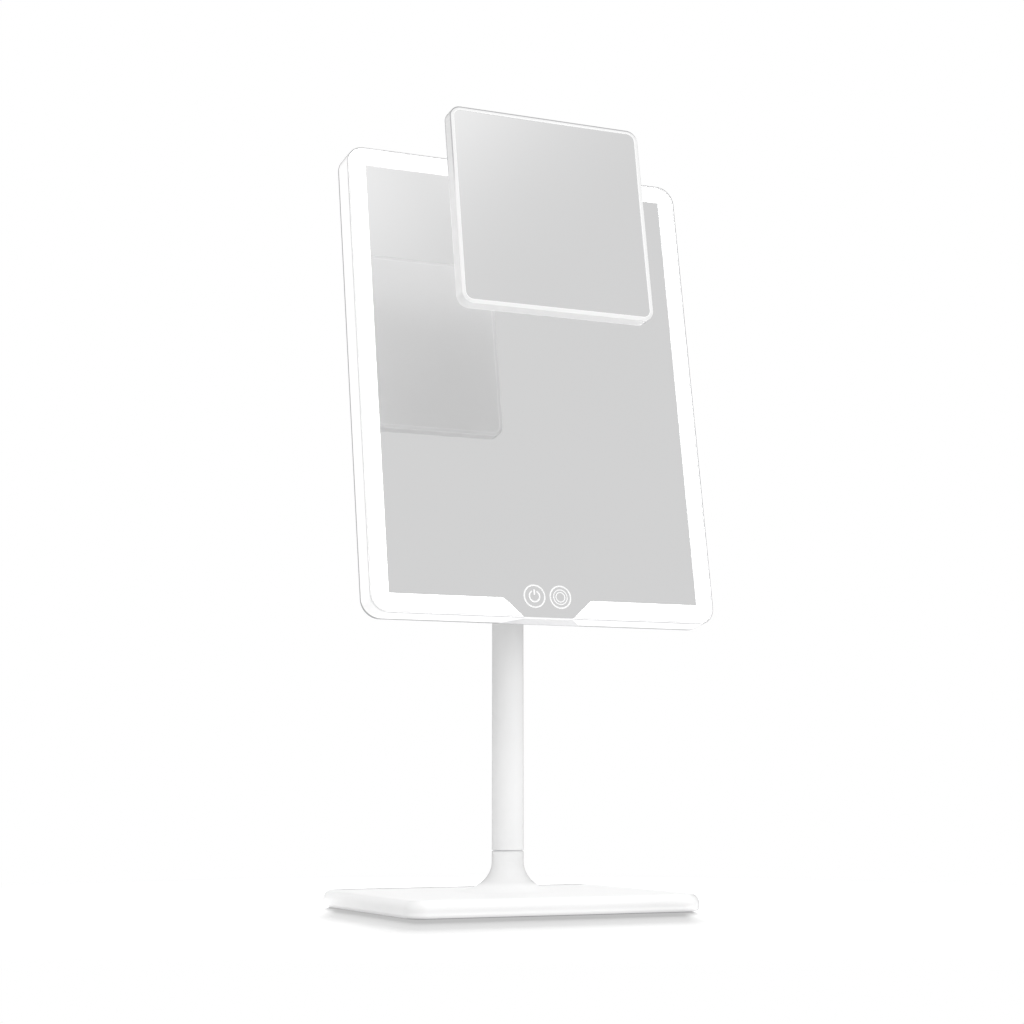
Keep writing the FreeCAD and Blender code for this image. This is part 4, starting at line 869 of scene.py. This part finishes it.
# Lamps and surroundings: a broad lamp above and one from the front left for the base, and a narrow one from
# the front right for the post, in the shade of the head. All stands in a white tent with two soft glows.
TENT_LIGHT = 0.8
TENT_SEEN = 0.984
TENT_GLOWS = ((22.731, 34.674, 2.49, 0.339), (28.637, 34.166, 0.859, 0.347))
cover = pieces("base_cover")
base_lamp = lamp("base_lamp", at=(0.4, -0.6, 1.8), towards=(0, 0, 0), width=1.2, height=1.2, power=8.0)
shine_on(base_lamp, cover, cover)
front_lamp = lamp("front_lamp", at=(-0.5, -1.4, 0.5), towards=(0, 0, 0), width=0.8, height=0.8, power=4.4)
shine_on(front_lamp, cover, cover)
post_pieces = pieces("post_tube", "post_head", "swivel_ring")
head_shell = pieces("rear_housing", "light_frame", "bottom_inlay")
post_lamp = lamp("post_lamp", at=(0.09, -0.34, 0.25), towards=(0, 0, 0.1), width=0.06, height=0.2, power=0.4)
shine_on(post_lamp, post_pieces, post_pieces + head_shell)
world = bpy.data.worlds.new("white_tent")
bpy.context.scene.world = world
world.use_nodes = True
tree = world.node_tree
tree.nodes.clear()
towards = put(tree, "ShaderNodeTexCoord").outputs["Generated"]
halo = TENT_SEEN
for azimuth, elevation, width, rise in TENT_GLOWS:
    turn, climb = math.radians(azimuth), math.radians(elevation)
    middle = (math.sin(turn) * math.cos(climb), -math.cos(turn) * math.cos(climb), math.sin(climb))
    facing = put(tree, "ShaderNodeVectorMath", {0: towards, 1: middle}, operation="DOT_PRODUCT")
    short = reckon(tree, "SUBTRACT", facing.outputs["Value"], 1.0)
    fall = reckon(tree, "DIVIDE", short, math.radians(width) ** 2)
    halo = reckon(tree, "MULTIPLY_ADD", reckon(tree, "EXPONENT", fall), rise, halo)
path = put(tree, "ShaderNodeLightPath").outputs
mirrored = reckon(tree, "MAXIMUM", path["Is Glossy Ray"], path["Is Transmission Ray"])
seen = reckon(tree, "MAXIMUM", path["Is Camera Ray"], mirrored)
tent = put(tree, "ShaderNodeBackground", {"Color": WHITE, "Strength": TENT_LIGHT}).outputs[0]
bright = ramp(tree, path["Is Camera Ray"], 0.0, 1.0, halo, 1.0)
backdrop = put(tree, "ShaderNodeBackground", {"Color": WHITE, "Strength": bright}).outputs[0]
either = put(tree, "ShaderNodeMixShader", {0: seen, 1: tent, 2: backdrop}).outputs[0]
put(tree, "ShaderNodeOutputWorld", {"Surface": either})

# Camera: a long lens, low in front and to the left of the mirror, tipped up a little, so that the head
# stands tall over the base and its left wall shows
camera = bpy.data.objects.new("camera", bpy.data.cameras.new("camera"))
camera.data.lens = 73.86
camera.data.sensor_width = 36.0
camera.data.clip_end = 100.0
camera.location = (-0.5014, -1.0914, 0.0675)
camera.rotation_euler = (math.radians(97.49), 0.0, math.radians(-24.79))
bpy.context.scene.collection.objects.link(camera)
bpy.context.scene.camera = camera
bpy.context.scene.view_settings.view_transform = "Standard"
